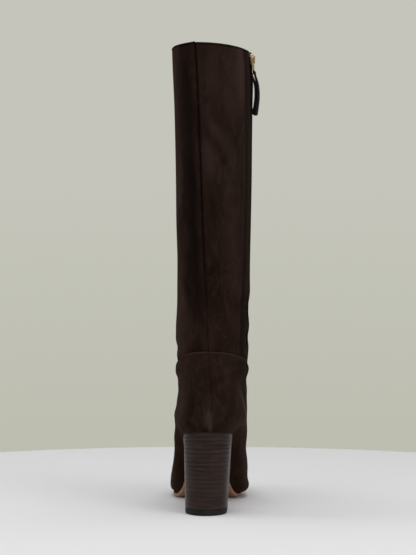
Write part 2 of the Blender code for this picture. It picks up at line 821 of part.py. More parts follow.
def build_zip(form, boot):
    """Build the two tapes, the closed chain and its stops."""
    tape_low = ZIP_BOTTOM - TAPE_TAIL
    tape_high = BOOT_HEIGHT - TAPE_TAIL / 3
    for name, side in (("zip_tape_front", 1), ("zip_tape_back", -1)):
        offsets = [side * (TAPE_SPLIT / 2 + TAPE_WIDTH * share) for share in (0.0, 0.5, 1.0)]
        mesh = strip(name, form, tape_low, tape_high, TAPE_ROWS, offsets, tape_face, tape_back)
        new_object(name, mesh, boot, WOVEN_TAPE)
    half = CHAIN_WIDTH / 2
    low_stop = ZIP_BOTTOM + PIECE_GAP
    high_stop = SLIDER_TOP + PIECE_GAP
    ribbons = (
        ("zip_chain", low_stop + STOP_LENGTH + PIECE_GAP, SLIDER_TOP - SLIDER_LENGTH - PIECE_GAP,
         CHAIN_ROWS, (-half, half), MOULDED_TEETH),
        ("zip_stop_bottom", low_stop, low_stop + STOP_LENGTH, 1, (-half, half), LIGHT_GOLD),
        ("zip_stop_top_front", high_stop, high_stop + STOP_LENGTH, 1, (PIECE_GAP, half), LIGHT_GOLD),
        ("zip_stop_top_back", high_stop, high_stop + STOP_LENGTH, 1, (-half, -PIECE_GAP), LIGHT_GOLD),
    )
    for name, low, high, rows, offsets, finish in ribbons:
        mesh = strip(name, form, low, high, rows, offsets, chain_face, wall_depth)
        new_object(name, mesh, boot, finish)


def zip_matrix(form, height):
    """Return the frame of the slider: +X out of the leg, +Y to the toe, +Z up."""
    point, normal = form.inner_side(HEEL_BACK + ZIP_PLACE, height)
    out = Vector((normal[0], normal[1], 0.0)).normalized()
    up = Vector((0.0, 0.0, 1.0))
    along = up.cross(out)
    frame = Matrix((out, along, up)).transposed().to_4x4()
    frame.translation = Vector(point)
    return frame


def box_outline(width, low, high, radius):
    """Return an upright outline with rounded corners, centred across."""
    half = width / 2
    corners = ((-half, low), (half, low), (half, high), (-half, high))
    return rounded_outline(corners, (radius,) * 4, SMALL_CORNER_STEPS)


def upright_plate(name, outline, low, high):
    """Return a plate that faces out of the leg, between two distances from the outer form."""
    upright = Matrix.Translation(((low + high) / 2, 0, 0)) @ UPRIGHT
    return plate(name, [outline], high - low, upright)


def bridge_outline(low, reach, half_span, radius):
    """Return the outline of the bridge or of its hole, seen from the side."""
    corners = ((low, -half_span), (reach, -half_span), (reach, half_span), (low, half_span))
    radii = (BRIDGE_FOOT_CORNER, radius, radius, BRIDGE_FOOT_CORNER)
    return rounded_outline(corners, radii, BRIDGE_CORNER_STEPS)


def build_slider(form, boot, cutters):
    """Build the zip slider: outer plate, neck and inner plate, with the bridge that holds the pull."""
    frame = zip_matrix(form, SLIDER_TOP - SLIDER_LENGTH / 2)
    half = SLIDER_LENGTH / 2
    outer_face = PLATE_STAND + PLATE_THICKNESS
    outer_outline = box_outline(PLATE_WIDTH, -half, half, PLATE_CORNER)
    outer = upright_plate("zip_slider", outer_outline, PLATE_STAND, outer_face)
    slider = new_object("zip_slider", outer, boot, LIGHT_GOLD)
    slider.matrix_world = frame
    inner_outline = box_outline(
        SLOT_WIDTH - 2 * PIECE_GAP, -INNER_PLATE_HALF_LENGTH, INNER_PLATE_HALF_LENGTH,
        INNER_PLATE_CORNER,
    )
    inner_high = INNER_PLATE_THICKNESS - SHAFT_WALL
    inner = upright_plate("slider_inner", inner_outline, -SHAFT_WALL, inner_high)
    neck_outline = box_outline(NECK_WIDTH, -NECK_HALF_LENGTH, NECK_HALF_LENGTH, NECK_CORNER)
    neck_low = inner_high - INNER_PLATE_THICKNESS / 2
    neck = upright_plate("slider_neck", neck_outline, neck_low, outer_face - PLATE_THICKNESS / 2)
    reach = outer_face + BRIDGE_REACH
    arch = bridge_outline(outer_face - PLATE_THICKNESS / 2, reach, BRIDGE_HALF_SPAN, BRIDGE_CORNER)
    hole = bridge_outline(
        outer_face - PLATE_THICKNESS / 8, reach - BRIDGE_BAR, BRIDGE_HALF_SPAN - BRIDGE_BAR,
        BRIDGE_HOLE_CORNER,
    )
    bridge = plate("slider_bridge", [arch, hole], BRIDGE_WIDTH, SIDE_ON)
    for mesh in (inner, neck, bridge):
        other = cutter(mesh.name, mesh, cutters)
        other.matrix_world = frame
        add_boolean(slider, other, "UNION")
    return frame


def build_pull(frame, boot):
    """Build the puller, which hangs in the bridge, and the leather strap folded through it."""
    outer_face = PLATE_STAND + PLATE_THICKNESS
    hang_out = outer_face + (BRIDGE_REACH - BRIDGE_BAR) / 2
    hang_up = BRIDGE_HALF_SPAN - BRIDGE_BAR - PIECE_GAP - PULL_BAR / 2
    hinge = frame @ Matrix.Translation((hang_out, 0.0, hang_up))
    top = PULL_BAR / 2
    bottom = top - PULL_LENGTH
    outline = rounded_outline(
        ((-PULL_FOOT_WIDTH / 2, bottom), (PULL_FOOT_WIDTH / 2, bottom),
         (PULL_TOP_WIDTH / 2, top), (-PULL_TOP_WIDTH / 2, top)),
        (PULL_FOOT_CORNER, PULL_FOOT_CORNER, PULL_TOP_CORNER, PULL_TOP_CORNER),
        SMALL_CORNER_STEPS,
    )
    eye_width = BRIDGE_WIDTH + 4 * PIECE_GAP
    eye = box_outline(eye_width, -PULL_BAR / 2 - PULL_EYE_LENGTH, -PULL_BAR / 2, PULL_EYE_CORNER)
    slot_low = bottom + PULL_FOOT_BAR
    slot_high = slot_low + STRAP_THICKNESS + 2 * PIECE_GAP
    slot = box_outline(STRAP_WIDTH + 2 * PIECE_GAP, slot_low, slot_high, STRAP_SLOT_CORNER)
    puller_mesh = plate("zip_pull", [outline, eye, slot], PULL_THICKNESS, UPRIGHT)
    puller = new_object("zip_pull", puller_mesh, boot, LIGHT_GOLD)
    puller.matrix_world = hinge
    places = [
        (row["out"] * STRAP_BOW, slot_low - row["down"] * STRAP_LENGTH)
        for row in table(STRAP_COLUMNS, STRAP_LINE)
    ]
    line = closed_curve(places, STRAP_STEPS)
    half = STRAP_THICKNESS / 2
    loop = plate("zip_pull_tab", [moved_line(line, half), moved_line(line, -half)], STRAP_WIDTH, SIDE_ON)
    for vertex in loop.vertices:
        down = max((slot_low - vertex.co.z) / STRAP_LENGTH, 0.0)
        axis = Vector((STRAP_BOW / 2, 0.0, 0.0))
        vertex.co = axis + Matrix.Rotation(STRAP_TWIST * down, 3, "Z") @ (vertex.co - axis)
    strap = new_object("zip_pull_tab", loop, boot, STRAP_LEATHER)
    strap.parent = puller


def main():
    """Clear the scene and build the boot."""
    for item in list(bpy.data.objects):
        bpy.data.objects.remove(item)
    boot = bpy.data.collections.new("knee_high_boot")
    cutters = bpy.data.collections.new("cutters")
    bpy.context.scene.collection.children.link(boot)
    bpy.context.scene.collection.children.link(cutters)
    form = Form(COLUMNS)
    build_wall_pieces(form, boot, cutters)
    build_bottom(form, boot)
    build_zip(form, boot)
    frame = build_slider(form, boot, cutters)
    build_pull(frame, boot)


main()
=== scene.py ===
"""Looks of a knee-high boot for the left foot: suede over a stacked block heel, with an inner zip.

Metres, +Z up. +Y points to the toe and +X to the inner side of the leg, where the zip runs. The
origin is the centre of the heel's ground face. The leather is drawn over one outer form, a stack
of rings from the feather line, where upper and sole meet, to the collar. Creases, seams and edges
are troughs and ridges on that form, and each stands where a hand would find it on the boot.
"""

from __future__ import annotations

import logging
import math
from dataclasses import dataclass
from enum import Enum
from typing import Callable, Sequence

import bmesh
import bpy
import numpy as np
from mathutils import Matrix, Vector
from mathutils.kdtree import KDTree


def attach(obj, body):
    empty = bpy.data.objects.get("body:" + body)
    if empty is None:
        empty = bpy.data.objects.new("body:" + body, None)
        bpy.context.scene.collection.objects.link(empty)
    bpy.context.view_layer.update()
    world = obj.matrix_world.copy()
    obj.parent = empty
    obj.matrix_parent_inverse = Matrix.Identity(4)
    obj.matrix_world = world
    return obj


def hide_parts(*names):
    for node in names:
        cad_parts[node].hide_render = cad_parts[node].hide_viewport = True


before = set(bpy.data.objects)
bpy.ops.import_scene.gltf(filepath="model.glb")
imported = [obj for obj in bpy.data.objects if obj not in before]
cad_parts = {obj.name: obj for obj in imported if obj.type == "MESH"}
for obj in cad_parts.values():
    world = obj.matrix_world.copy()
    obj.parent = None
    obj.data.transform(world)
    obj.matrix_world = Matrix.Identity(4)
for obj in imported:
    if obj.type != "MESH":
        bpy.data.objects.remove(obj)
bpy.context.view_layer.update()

log = logging.getLogger("boot")

Array = np.ndarray
Faces = list[tuple[int, ...]]
Height = Callable[[float], float]
Colour = tuple[float, float, float]
Mesh = bpy.types.Mesh
Material = bpy.types.Material
Socket = bpy.types.NodeSocket


class Body(Enum):
    """The two bodies of the boot: all that stands still, and the zip's hanging pull."""

    BOOT = "boot"
    PULL = "pull"


class Slot(Enum):
    """The record's material slots."""

    SUEDE = "suede"
    SOLE = "sole_leather"
    INSOLE = "insole_leather"
    HEEL = "stacked_heel"
    RUBBER = "heel_rubber"
    TAPE = "zip_tape"
    TEETH = "zip_teeth"
    GOLD = "gold_metal"
    STRAP = "strap_leather"


@dataclass(frozen=True)
class BootSizes:
    """The boot's driving sizes in metres, and the heights and places worked out from them."""

    boot_height: float = 0.468
    foot_length: float = 0.229
    ball_width: float = 0.0838
    toe_swing: float = 0.004
    heel_height: float = 0.0836
    seat_length: float = 0.053
    seat_back_width: float = 0.0486
    seat_front_width: float = 0.0500
    seat_round: float = 0.0270
    seat_pitch: float = math.radians(9.0)
    ground_length: float = 0.045
    ground_back_width: float = 0.0420
    ground_front_width: float = 0.0428
    ground_round: float = 0.0240
    heel_lean: float = 0.0018
    heel_setback: float = 0.0035
    breast_corner: float = 0.0015
    top_piece_thickness: float = 0.0055
    sole_thickness: float = 0.0036
    tread_start: float = 0.136
    tread_end: float = 0.162
    toe_spring: float = 0.0075
    toe_lift_power: float = 1.8
    shank_seat_slope: float = -0.20
    insole_thickness: float = 0.0024
    ankle_rise: float = 0.1164
    collar_depth: float = 0.138
    collar_width: float = 0.0788
    collar_back: float = -0.014
    collar_turn: float = math.radians(13.0)
    cup_shift: float = 0.0068
    leg_shift: float = 0.0070
    ball_shift: float = 0.0033
    foot_wall: float = 0.0026
    shaft_wall: float = 0.0020
    seam_step: float = 0.0009
    seam_step_fade: float = 0.010
    piece_gap: float = 0.0003
    feather_gap: float = 0.0005
    seam_back: float = 0.163
    seam_front: float = 0.146
    seam_fall: float = 2.0
    zip_place: float = 0.0500
    zip_bottom: float = 0.108
    slot_width: float = 0.0070
    slider_drop: float = 0.0025
    slider_length: float = 0.011

    @property
    def heel_back(self) -> float:
        """Place of the heel's rearmost line along the foot."""
        return -(self.heel_setback + self.ground_length / 2)

    @property
    def toe_tip(self) -> float:
        """Place of the toe's tip along the foot."""
        return self.heel_back + self.foot_length

    @property
    def breast(self) -> float:
        """Place of the heel's front face at the seat."""
        return self.heel_back + self.heel_setback / 2 + self.seat_length

    @property
    def ankle_height(self) -> float:
        """Height of the ring where the foot's form becomes the leg's."""
        return self.heel_height + self.ankle_rise

    @property
    def zip_y(self) -> float:
        """Place of the zip's middle along the foot."""
        return self.heel_back + self.zip_place

    def seat_line(self, y: Array | float) -> Array | float:
        """Height of the sloping heel seat."""
        return self.heel_height - math.tan(self.seat_pitch) * (y - self.heel_back)

    def sole_top(self, y: Array | float) -> Array:
        """Height of the face that the upper stands on: seat, shank, tread and toe.

        Args:
            y: Places along the foot.

        Returns:
            The heights there.
        """
        y = np.asarray(y, dtype=float)
        start = self.heel_back + self.tread_start
        end = self.heel_back + self.tread_end
        span = start - self.breast
        share = np.clip((y - self.breast) / span, 0.0, 1.0)
        drop = self.seat_line(self.breast) - self.sole_thickness
        shank = self.sole_thickness + drop * (2 * share**3 - 3 * share**2 + 1)
        shank = shank + self.shank_seat_slope * span * share * (1 - share) ** 2
        toe_share = np.clip((y - end) / (self.toe_tip - end), 0.0, 1.2)
        toe = self.sole_thickness + self.toe_spring * toe_share**self.toe_lift_power
        return np.where(y < self.breast, self.seat_line(y), np.where(y < start, shank, toe))

    def sole_underside(self, y: Array | float) -> Array:
        """Height of the sole's ground side, its thickness measured square to the curve.

        Args:
            y: Places along the foot.

        Returns:
            The heights there.
        """
        step = 0.0005
        y = np.asarray(y, dtype=float)
        slope = (self.sole_top(y + step) - self.sole_top(y - step)) / (2 * step)
        start = self.heel_back + self.tread_start
        end = self.heel_back + self.tread_end
        height = self.sole_top(y) - self.sole_thickness * np.sqrt(1 + slope * slope)
        return np.where((y > start) & (y < end), 0.0, np.maximum(height, 0.0))

    def ankle_seam(self, around: Array) -> Array:
        """Height of the ankle seam at turns from the back, 0 to 1 once round the leg."""
        fall = ((1 + np.cos(2 * math.pi * around)) / 2) ** self.seam_fall
        return self.seam_front + (self.seam_back - self.seam_front) * fall


SIZES = BootSizes()

# Places along a ring of the foot, as shares of its length
BALL_PLACE = 0.66
ARCH_PLACE = 0.44
ARCH_SPREAD = 0.13
OUTER_ARCH = 0.80
FRONT_SQUARE = 2.05

# Shares of the foot's rise by which the cup has its full shift, and past which the leg's begins
CUP_RISE = 0.25
SETTLE_RISE = 0.30

# Rings of the foot, a row each from the feather line to the ankle. back and front are places along
# the foot as shares of its length. rise is the back point's height over the seat as a share of the
# ankle's, and climb the front point's height over the toe's feather line as a share of what is left
# up to the ankle. heel and ball are half widths as shares of the ball's width, and waist is where
# the side starts to widen from one to the other. heel_cap and toe_cap are the shares of the length
# that round the two ends, square how square the heel's rounding is, arch how far the sides draw in
# at the waist, sag how far the ring follows the sole's curve, and turn the share of the collar's.
FOOT_RINGS = (
    # back, rise, front, climb, heel, ball, waist, heel_cap, toe_cap, square, arch, sag, turn
    (0.0105, 0.000, 0.9880, 0.000, 0.300, 0.447, 0.42, 0.19, 0.37, 3.20, 0.14, 1.00, 0.00),
    (0.0095, 0.018, 0.9930, 0.011, 0.308, 0.458, 0.39, 0.19, 0.37, 3.10, 0.12, 1.00, 0.00),
    (0.0045, 0.050, 0.9990, 0.032, 0.345, 0.492, 0.22, 0.20, 0.37, 2.70, 0.10, 1.00, 0.00),
    (0.0010, 0.095, 1.0000, 0.064, 0.380, 0.500, 0.10, 0.21, 0.38, 2.50, 0.06, 0.85, 0.00),
    (-0.0010, 0.175, 0.9660, 0.116, 0.400, 0.482, 0.02, 0.24, 0.42, 2.30, 0.03, 0.50, 0.00),
    (0.0000, 0.285, 0.8650, 0.172, 0.396, 0.462, 0.00, 0.28, 0.45, 2.25, 0.01, 0.22, 0.02),
    (0.0100, 0.405, 0.7200, 0.250, 0.388, 0.442, 0.00, 0.33, 0.46, 2.20, 0.00, 0.05, 0.08),
    (0.0250, 0.535, 0.5900, 0.385, 0.392, 0.430, 0.00, 0.39, 0.47, 2.10, 0.00, 0.00, 0.20),
    (0.0390, 0.675, 0.5000, 0.570, 0.410, 0.430, 0.00, 0.44, 0.49, 2.05, 0.00, 0.00, 0.34),
    (0.0465, 0.825, 0.4500, 0.775, 0.430, 0.434, 0.00, 0.48, 0.50, 2.00, 0.00, 0.00, 0.46),
    (0.0475, 1.000, 0.4300, 1.000, 0.434, 0.434, 0.00, 0.50, 0.50, 2.00, 0.00, 0.00, 0.57),
)

# Rings of the leg, a row each from above the ankle to the collar. height is the share of the way
# from ankle to collar, back the share of the way that the back line has moved from the ankle's to
# the collar's, depth and width the oval's sizes as shares of the collar's, turn the share of its
# turn, and shift the share of the leg's shift to the inner side.
LEG_RINGS = (
    # height, back, depth, width, turn, shift
    (0.110, 0.08, 0.652, 0.932, 0.66, 0.98),
    (0.225, 0.28, 0.694, 0.938, 0.76, 0.98),
    (0.350, 0.45, 0.752, 0.944, 0.84, 1.02),
    (0.490, 0.66, 0.814, 0.951, 0.89, 1.05),
    (0.640, 0.82, 0.878, 0.957, 0.92, 1.05),
    (0.790, 0.93, 0.935, 0.966, 0.96, 1.02),
    (0.910, 0.98, 0.975, 0.985, 0.99, 0.96),
    (1.000, 1.00, 1.000, 0.978, 1.00, 0.82),
)


def ease(share: Array | float) -> Array | float:
    """A share from 0 to 1 that starts and ends gently."""
    held = np.clip(share, 0.0, 1.0)
    return held * held * (3.0 - 2.0 * held)


def bell(offset: Array | float, width: float) -> Array:
    """A soft hump, 1 in the middle and gone at about twice its width."""
    return np.exp(-((np.asarray(offset) / width) ** 2))


def trough(offset: Array | float, width: float) -> Array:
    """A soft trough of depth 1 with a low ridge along each side."""
    square = (np.asarray(offset) / width) ** 2
    return -(1 - square) * np.exp(-square / 2)


def curve_weights(share: float) -> tuple[float, float, float, float]:
    """Weights of a smooth curve's start, its slope there, its end and its slope there."""
    square, cube = share**2, share**3
    return 2 * cube - 3 * square + 1, cube - 2 * square + share, 3 * square - 2 * cube, cube - square


def run_along(points: Array) -> Array:
    """The length of a line up to each of its points."""
    return np.concatenate([[0.0], np.cumsum(np.linalg.norm(np.diff(points, axis=0), axis=1))])


def read_line(places: Array | float, run: Array, values: Array) -> Array:
    """Values with several columns, read at some places of a run."""
    return np.stack([np.interp(places, run, column) for column in values.T], axis=-1)


def unit_rows(vectors: Array) -> Array:
    """Vectors brought to a length of 1."""
    return vectors / np.linalg.norm(vectors, axis=-1, keepdims=True)


@dataclass
class Ring:
    """One ring of the outer form, its sizes in metres."""

    back: float
    back_height: float
    front: float
    front_height: float
    heel: float
    ball: float
    waist: float
    heel_cap: float
    toe_cap: float
    square: float
    arch: float
    sag: float
    middle: float
    swing: float
    turn: float

    def side(self, along: Array, side: int) -> Array:
        """Points of one side of the ring.

        Args:
            along: Shares of the ring's length, from back to front.
            side: 1 for the inner side, -1 for the outer.

        Returns:
            One point a row.
        """
        width = self.heel + (self.ball - self.heel) * ease(
            (along - self.waist) / (BALL_PLACE - self.waist)
        )
        pinch = self.arch if side > 0 else OUTER_ARCH * self.arch
        width = width * (1 - pinch * bell(along - ARCH_PLACE, ARCH_SPREAD))
        heel_end = np.clip(along / self.heel_cap, 0.0, 1.0)
        toe_end = np.clip((1 - along) / self.toe_cap, 0.0, 1.0)
        width = width * (1 - (1 - heel_end) ** self.square) ** (1 / self.square)
        width = width * (1 - (1 - toe_end) ** FRONT_SQUARE) ** (1 / FRONT_SQUARE)
        y = self.back + along * (self.front - self.back)
        foot_share = np.clip(-self.swing / (SIZES.cup_shift - SIZES.ball_shift), 0.0, 1.0)
        past_ball = np.clip((along - BALL_PLACE) / (1 - BALL_PLACE), 0.0, 1.0)
        x = side * width + self.swing * ease(along / BALL_PLACE)
        x = x + SIZES.toe_swing * foot_share * past_ball**2
        low = SIZES.sole_top(self.back)
        straight = low + along * (SIZES.sole_top(self.front) - low)
        z = self.back_height + along * (self.front_height - self.back_height)
        z = z + self.sag * (SIZES.sole_top(y) - straight)
        centre = (self.back + self.front) / 2
        turned_x = self.middle + x * math.cos(self.turn) + (y - centre) * math.sin(self.turn)
        turned_y = centre - x * math.sin(self.turn) + (y - centre) * math.cos(self.turn)
        return np.stack([turned_x, turned_y, z], axis=1)

    def points(self, columns: int, samples: int = 240) -> Array:
        """Evenly spaced points around the ring: back, inner side, front, outer side.

        Args:
            columns: How many points.
            samples: How finely each side is measured.

        Returns:
            One point a row.
        """
        along = (1 - np.cos(np.linspace(0, math.pi, samples))) / 2
        halves = []
        for side in (1, -1):
            points = self.side(along, side)
            run = run_along(points)
            halves.append(read_line(np.linspace(0, run[-1], columns // 2 + 1), run, points))
        return np.concatenate([halves[0], halves[1][-2:0:-1]])


def ring_table() -> Array:
    """All rings' sizes in metres, the foot's first and then the leg's.

    Returns:
        One ring a row, in the order of Ring's fields.
    """
    toe_feather = float(SIZES.sole_top(SIZES.toe_tip)) + SIZES.feather_gap
    ankle = SIZES.ankle_height
    rows = []
    for back_share, rise, front, climb, heel, ball, *rest, turn in FOOT_RINGS:
        back = SIZES.heel_back + back_share * SIZES.foot_length
        seat = float(SIZES.seat_line(back))
        settle = ease((rise - SETTLE_RISE) / (1 - SETTLE_RISE))
        middle = SIZES.heel_lean + (SIZES.cup_shift - SIZES.heel_lean) * ease(rise / CUP_RISE)
        rows.append((
            back, seat + SIZES.feather_gap + rise * (ankle - seat),
            SIZES.heel_back + front * SIZES.foot_length, toe_feather + climb * (ankle - toe_feather),
            heel * SIZES.ball_width, ball * SIZES.ball_width, *rest,
            middle + (SIZES.leg_shift - SIZES.cup_shift) * settle,
            (SIZES.ball_shift - SIZES.cup_shift) * (1 - settle), turn * SIZES.collar_turn,
        ))
    ankle_back = rows[-1][0]
    for level, moved, depth, width, turn, shift in LEG_RINGS:
        back = ankle_back + moved * (SIZES.heel_back + SIZES.collar_back - ankle_back)
        height = ankle + level * (SIZES.boot_height - ankle)
        half = width * SIZES.collar_width / 2
        front = back + depth * SIZES.collar_depth
        rows.append((
            back, height, front, height, half, half, 0.0, 0.5, 0.5, 2.0, 0.0, 0.0,
            shift * SIZES.leg_shift, 0.0, turn * SIZES.collar_turn,
        ))
    return np.array(rows, dtype=float)


@dataclass
class Patch:
    """A net of points over the outer form, with what the relief needs to know of each point."""

    points: Array
    normals: Array
    around: Array
    from_back: Array
    behind_zip: Array
    ahead_of_zip: Array
    over_seam: Array
    open_slot: Array


class OuterForm:
    """The last and leg that the leather is drawn over, as a fine net of rings."""

    def __init__(self, columns: int = 360, rings_per_row: int = 20) -> None:
        """Work out the net.

        Args:
            columns: Points around each ring.
            rings_per_row: Rings between one row of the table and the next.
        """
        rows = ring_table()
        self.columns = columns
        self.turns = np.arange(columns) / columns
        self.places = np.linspace(0, len(rows) - 1, (len(rows) - 1) * rings_per_row + 1)
        self.net = np.array([self._ring(rows, place).points(columns) for place in self.places])
        around = np.roll(self.net, -1, axis=1) - np.roll(self.net, 1, axis=1)
        self.normals = unit_rows(np.cross(around, np.gradient(self.net, axis=0)))

    @staticmethod
    def _ring(rows: Array, place: float) -> Ring:
        """The ring at a place between rows, on a smooth curve through all of them.

        Args:
            rows: The table of rings.
            place: The place, counted in rows.

        Returns:
            The ring.
        """
        index = min(int(place), len(rows) - 2)
        share = place - index
        low, high = rows[index], rows[index + 1]
        low_slope = (high - rows[max(index - 1, 0)]) / 2
        high_slope = (rows[min(index + 2, len(rows) - 1)] - low) / 2
        start, leaving, end, reaching = curve_weights(share)
        return Ring(*(start * low + leaving * low_slope + end * high + reaching * high_slope))

    def places_at(self, heights: Array) -> Array:
        """The places between rings where each column reaches its height."""
        return np.array([
            np.interp(height, self.net[:, column, 2], self.places)
            for column, height in enumerate(heights)
        ])

    def level(self, places: Array) -> tuple[Array, Array]:
        """Points and normals on all columns, each at its own place between rings.

        Args:
            places: One place a column.

        Returns:
            The points and the outward normals, one a row.
        """
        at = np.interp(places, self.places, np.arange(len(self.places)))
        low = np.minimum(at.astype(int), len(self.places) - 2)
        share = (at - low)[:, None]
        column = np.arange(self.columns)
        points = self.net[low, column] * (1 - share) + self.net[low + 1, column] * share
        normals = self.normals[low, column] * (1 - share) + self.normals[low + 1, column] * share
        return points, unit_rows(normals)

    def inner_side(self, y: float, height: float) -> tuple[Array, Array]:
        """A point of the inner side.

        Args:
            y: Place along the foot.
            height: Height over the ground.

        Returns:
            The point and its outward normal.
        """
        points, normals = self.level(self.places_at(np.full(self.columns, height)))
        order = np.argsort(points[: self.columns // 2 + 1, 1])
        run = points[order, 1]
        x = np.interp(y, run, points[order, 0])
        return np.array([x, y, height]), unit_rows(read_line(y, run, normals[order]))

    def patch(self, low: Array, high: Array, rows: Array, columns: int,
              slot: Callable[[float], float]) -> Patch:
        """A net between two places on every column, slit along the zip.

        Each row runs from the slot's back edge over the back seam, the outer side and the front to
        the slot's front edge, with more points near the seam and the edges.

        Args:
            low: Where each column starts.
            high: Where each column ends.
            rows: Shares of the way from low to high, one a row of the net.
            columns: Points in each row, back seam included.
            slot: Half the slot's width at a height.

        Returns:
            The net.
        """
        behind = columns // 4
        half = self.columns // 2 + 1
        to_back, to_front = (
            (even + (1 - np.cos(math.pi * even)) / 2) / 2
            for even in (np.linspace(0, 1, behind + 1), np.linspace(0, 1, columns - behind))
        )
        lists: dict[str, list[Array]] = {name: [] for name in Patch.__dataclass_fields__}
        for share in rows:
            points, normals = self.level(low + (high - low) * share)
            closed = np.concatenate([points, points[:1]])
            run = run_along(closed)
            length = run[-1]
            width = slot(float(np.interp(SIZES.zip_y, points[:half, 1], points[:half, 2])))
            back_edge, front_edge = np.interp(
                [SIZES.zip_y - width, SIZES.zip_y + width], points[:half, 1], run[:half],
            )
            wanted = np.concatenate([
                back_edge * (1 - to_back), length - (length - front_edge) * to_front[1:],
            ])
            turns = np.interp(wanted, run, np.append(self.turns, 1.0))
            grid = read_line(wanted, run, closed)
            square = read_line(wanted, run, np.concatenate([normals, normals[:1]]))
            inner = np.arange(len(wanted)) <= behind
            lists["points"].append(grid)
            lists["normals"].append(unit_rows(square))
            lists["around"].append(360.0 * turns)
            lists["from_back"].append(np.where(inner, wanted, wanted - length))
            lists["behind_zip"].append(np.where(inner, back_edge - wanted, length - wanted + back_edge))
            lists["ahead_of_zip"].append(np.where(inner, length + wanted - front_edge, wanted - front_edge))
            lists["over_seam"].append(grid[:, 2] - SIZES.ankle_seam(turns))
            lists["open_slot"].append(np.array(width))
        return Patch(**{name: np.array(values) for name, values in lists.items()})


@dataclass(frozen=True)
class Crease:
    """A soft trough in the leather with a ridge along each side.

    around is where its middle lies, in degrees from the back over the inner side, and reach how
    many degrees it runs to each side. height and width are shares of the boot's height and of the
    foot's length, depth is in metres, and climb is how far it rises over its reach, as a share of
    the boot's height.
    """

    around: float
    reach: float
    height: float
    width: float
    depth: float
    climb: float = 0.0

    def section(self, offset: Array, width: float) -> Array:
        """The relief across the crease, for a depth of 1."""
        return trough(offset, width)

    def relief(self, patch: Patch) -> Array:
        """How far the crease moves each point of a net outward.

        Args:
            patch: The net.

        Returns:
            Metres outward, one value a point.
        """
        turn = (patch.around - self.around + 180.0) % 360.0 - 180.0
        line = (self.height + self.climb * np.clip(turn / self.reach, -1.5, 1.5)) * SIZES.boot_height
        shape = self.section(patch.points[..., 2] - line, self.width * SIZES.foot_length)
        return self.depth * shape * np.exp(-((turn / self.reach) ** 4))


@dataclass(frozen=True)
class Swell(Crease):
    """A soft swell of the leather, or a hollow where its depth is minus."""

    def section(self, offset: Array, width: float) -> Array:
        """The relief across the swell, for a depth of 1."""
        return bell(offset, width)


# Creases and swells of the foot and the ankle
ANKLE_CREASES = (
    # around, reach, height, width, depth, climb
    Crease(268, 62, 0.3275, 0.018, 0.0016, 0.004),
    Crease(262, 58, 0.2650, 0.044, 0.0011, -0.006),
    Swell(280, 60, 0.1990, 0.036, 0.0024),
    Swell(282, 50, 0.2970, 0.022, 0.0013),
    Swell(276, 50, 0.1540, 0.048, 0.0012),
    Swell(84, 34, 0.2150, 0.044, 0.0011),
    Swell(86, 34, 0.2970, 0.018, 0.0008),
    Swell(104, 26, 0.0240, 0.026, 0.0036),
    Crease(300, 40, 0.2950, 0.026, 0.0008, 0.020),
    Crease(84, 52, 0.3190, 0.014, 0.0011, -0.004),
    Crease(88, 50, 0.2800, 0.036, 0.0009, 0.006),
    Swell(62, 30, 0.2350, 0.060, -0.0006),
    Swell(100, 34, 0.1150, 0.060, -0.0020),
    Crease(318, 26, 0.3060, 0.014, 0.0006, -0.012),
    Crease(24, 24, 0.2960, 0.016, 0.0005, 0.012),
    Crease(180, 64, 0.3560, 0.030, 0.0017),
    Crease(176, 56, 0.3080, 0.026, 0.0012, 0.004),
    Crease(186, 50, 0.2640, 0.024, 0.0008, -0.004),
)

# Creases and swells of the shaft
SHAFT_CREASES = (
    # around, reach, height, width, depth, climb
    Swell(282, 70, 0.3960, 0.100, 0.0020),
    Crease(262, 60, 0.3520, 0.022, 0.0008, 0.006),
    Crease(88, 50, 0.4420, 0.044, 0.0010, -0.004),
    Crease(80, 42, 0.3720, 0.030, 0.0007, 0.010),
    Swell(88, 45, 0.4050, 0.110, -0.0009),
    Crease(30, 26, 0.8400, 0.070, 0.0005, -0.040),
    Crease(20, 18, 0.7800, 0.040, 0.0005, -0.050),
    Crease(334, 22, 0.6600, 0.080, 0.0005, 0.060),
    Crease(300, 40, 0.5600, 0.100, 0.0005, 0.030),
    Crease(180, 60, 0.4100, 0.034, 0.0014),
    Crease(184, 60, 0.4700, 0.040, 0.0010, 0.004),
    Crease(176, 50, 0.5400, 0.060, 0.0008, -0.006),
)


@dataclass(frozen=True)
class NapAndShadingMark:
    """A place in the suede's tone, lighter where its tone is plus and darker where it is minus: brushed
    streaks with painted highlight and painted shade.

    around and reach are degrees from the back over the inner side, height and rise are shares of
    the boot's height, and lean is how far it moves around over its rise.
    """

    around: float
    reach: float
    height: float
    rise: float
    tone: float
    lean: float = 0.0

    def tones(self, patch: Patch) -> Array:
        """How much the mark lightens or darkens each point of a net.

        Args:
            patch: The net.

        Returns:
            One value a point.
        """
        share = (patch.points[..., 2] / SIZES.boot_height - self.height) / self.rise
        turn = (patch.around - self.around - self.lean * share + 180.0) % 360.0 - 180.0
        return self.tone * np.exp(-((turn / self.reach) ** 2) - share**4)


# Marks on the shaft, partly brushed streaks and partly painted light: painted shade and painted highlight
# beside the back seam, painted highlight at the outer edge and towards the zip, and lighter and darker
# places at the front
SHAFT_MARKS = (
    # around, reach, height, rise, tone, lean
    NapAndShadingMark(346, 11, 0.80, 0.34, -0.40),
    NapAndShadingMark(357, 15, 0.50, 0.20, -0.34),
    NapAndShadingMark(315, 18, 0.66, 0.40, 0.16),
    NapAndShadingMark(12, 8, 0.84, 0.16, 0.30, 4),
    NapAndShadingMark(40, 22, 0.80, 0.26, 0.24),
    NapAndShadingMark(62, 10, 0.95, 0.07, 0.80),
    NapAndShadingMark(42, 10, 0.52, 0.14, 0.18, -6),
    NapAndShadingMark(10, 6, 0.755, 0.04, 0.26, -7),
    NapAndShadingMark(150, 30, 0.70, 0.28, 0.22, 8),
    NapAndShadingMark(215, 36, 0.55, 0.24, -0.22, -8),
    NapAndShadingMark(235, 26, 0.84, 0.12, 0.20),
)
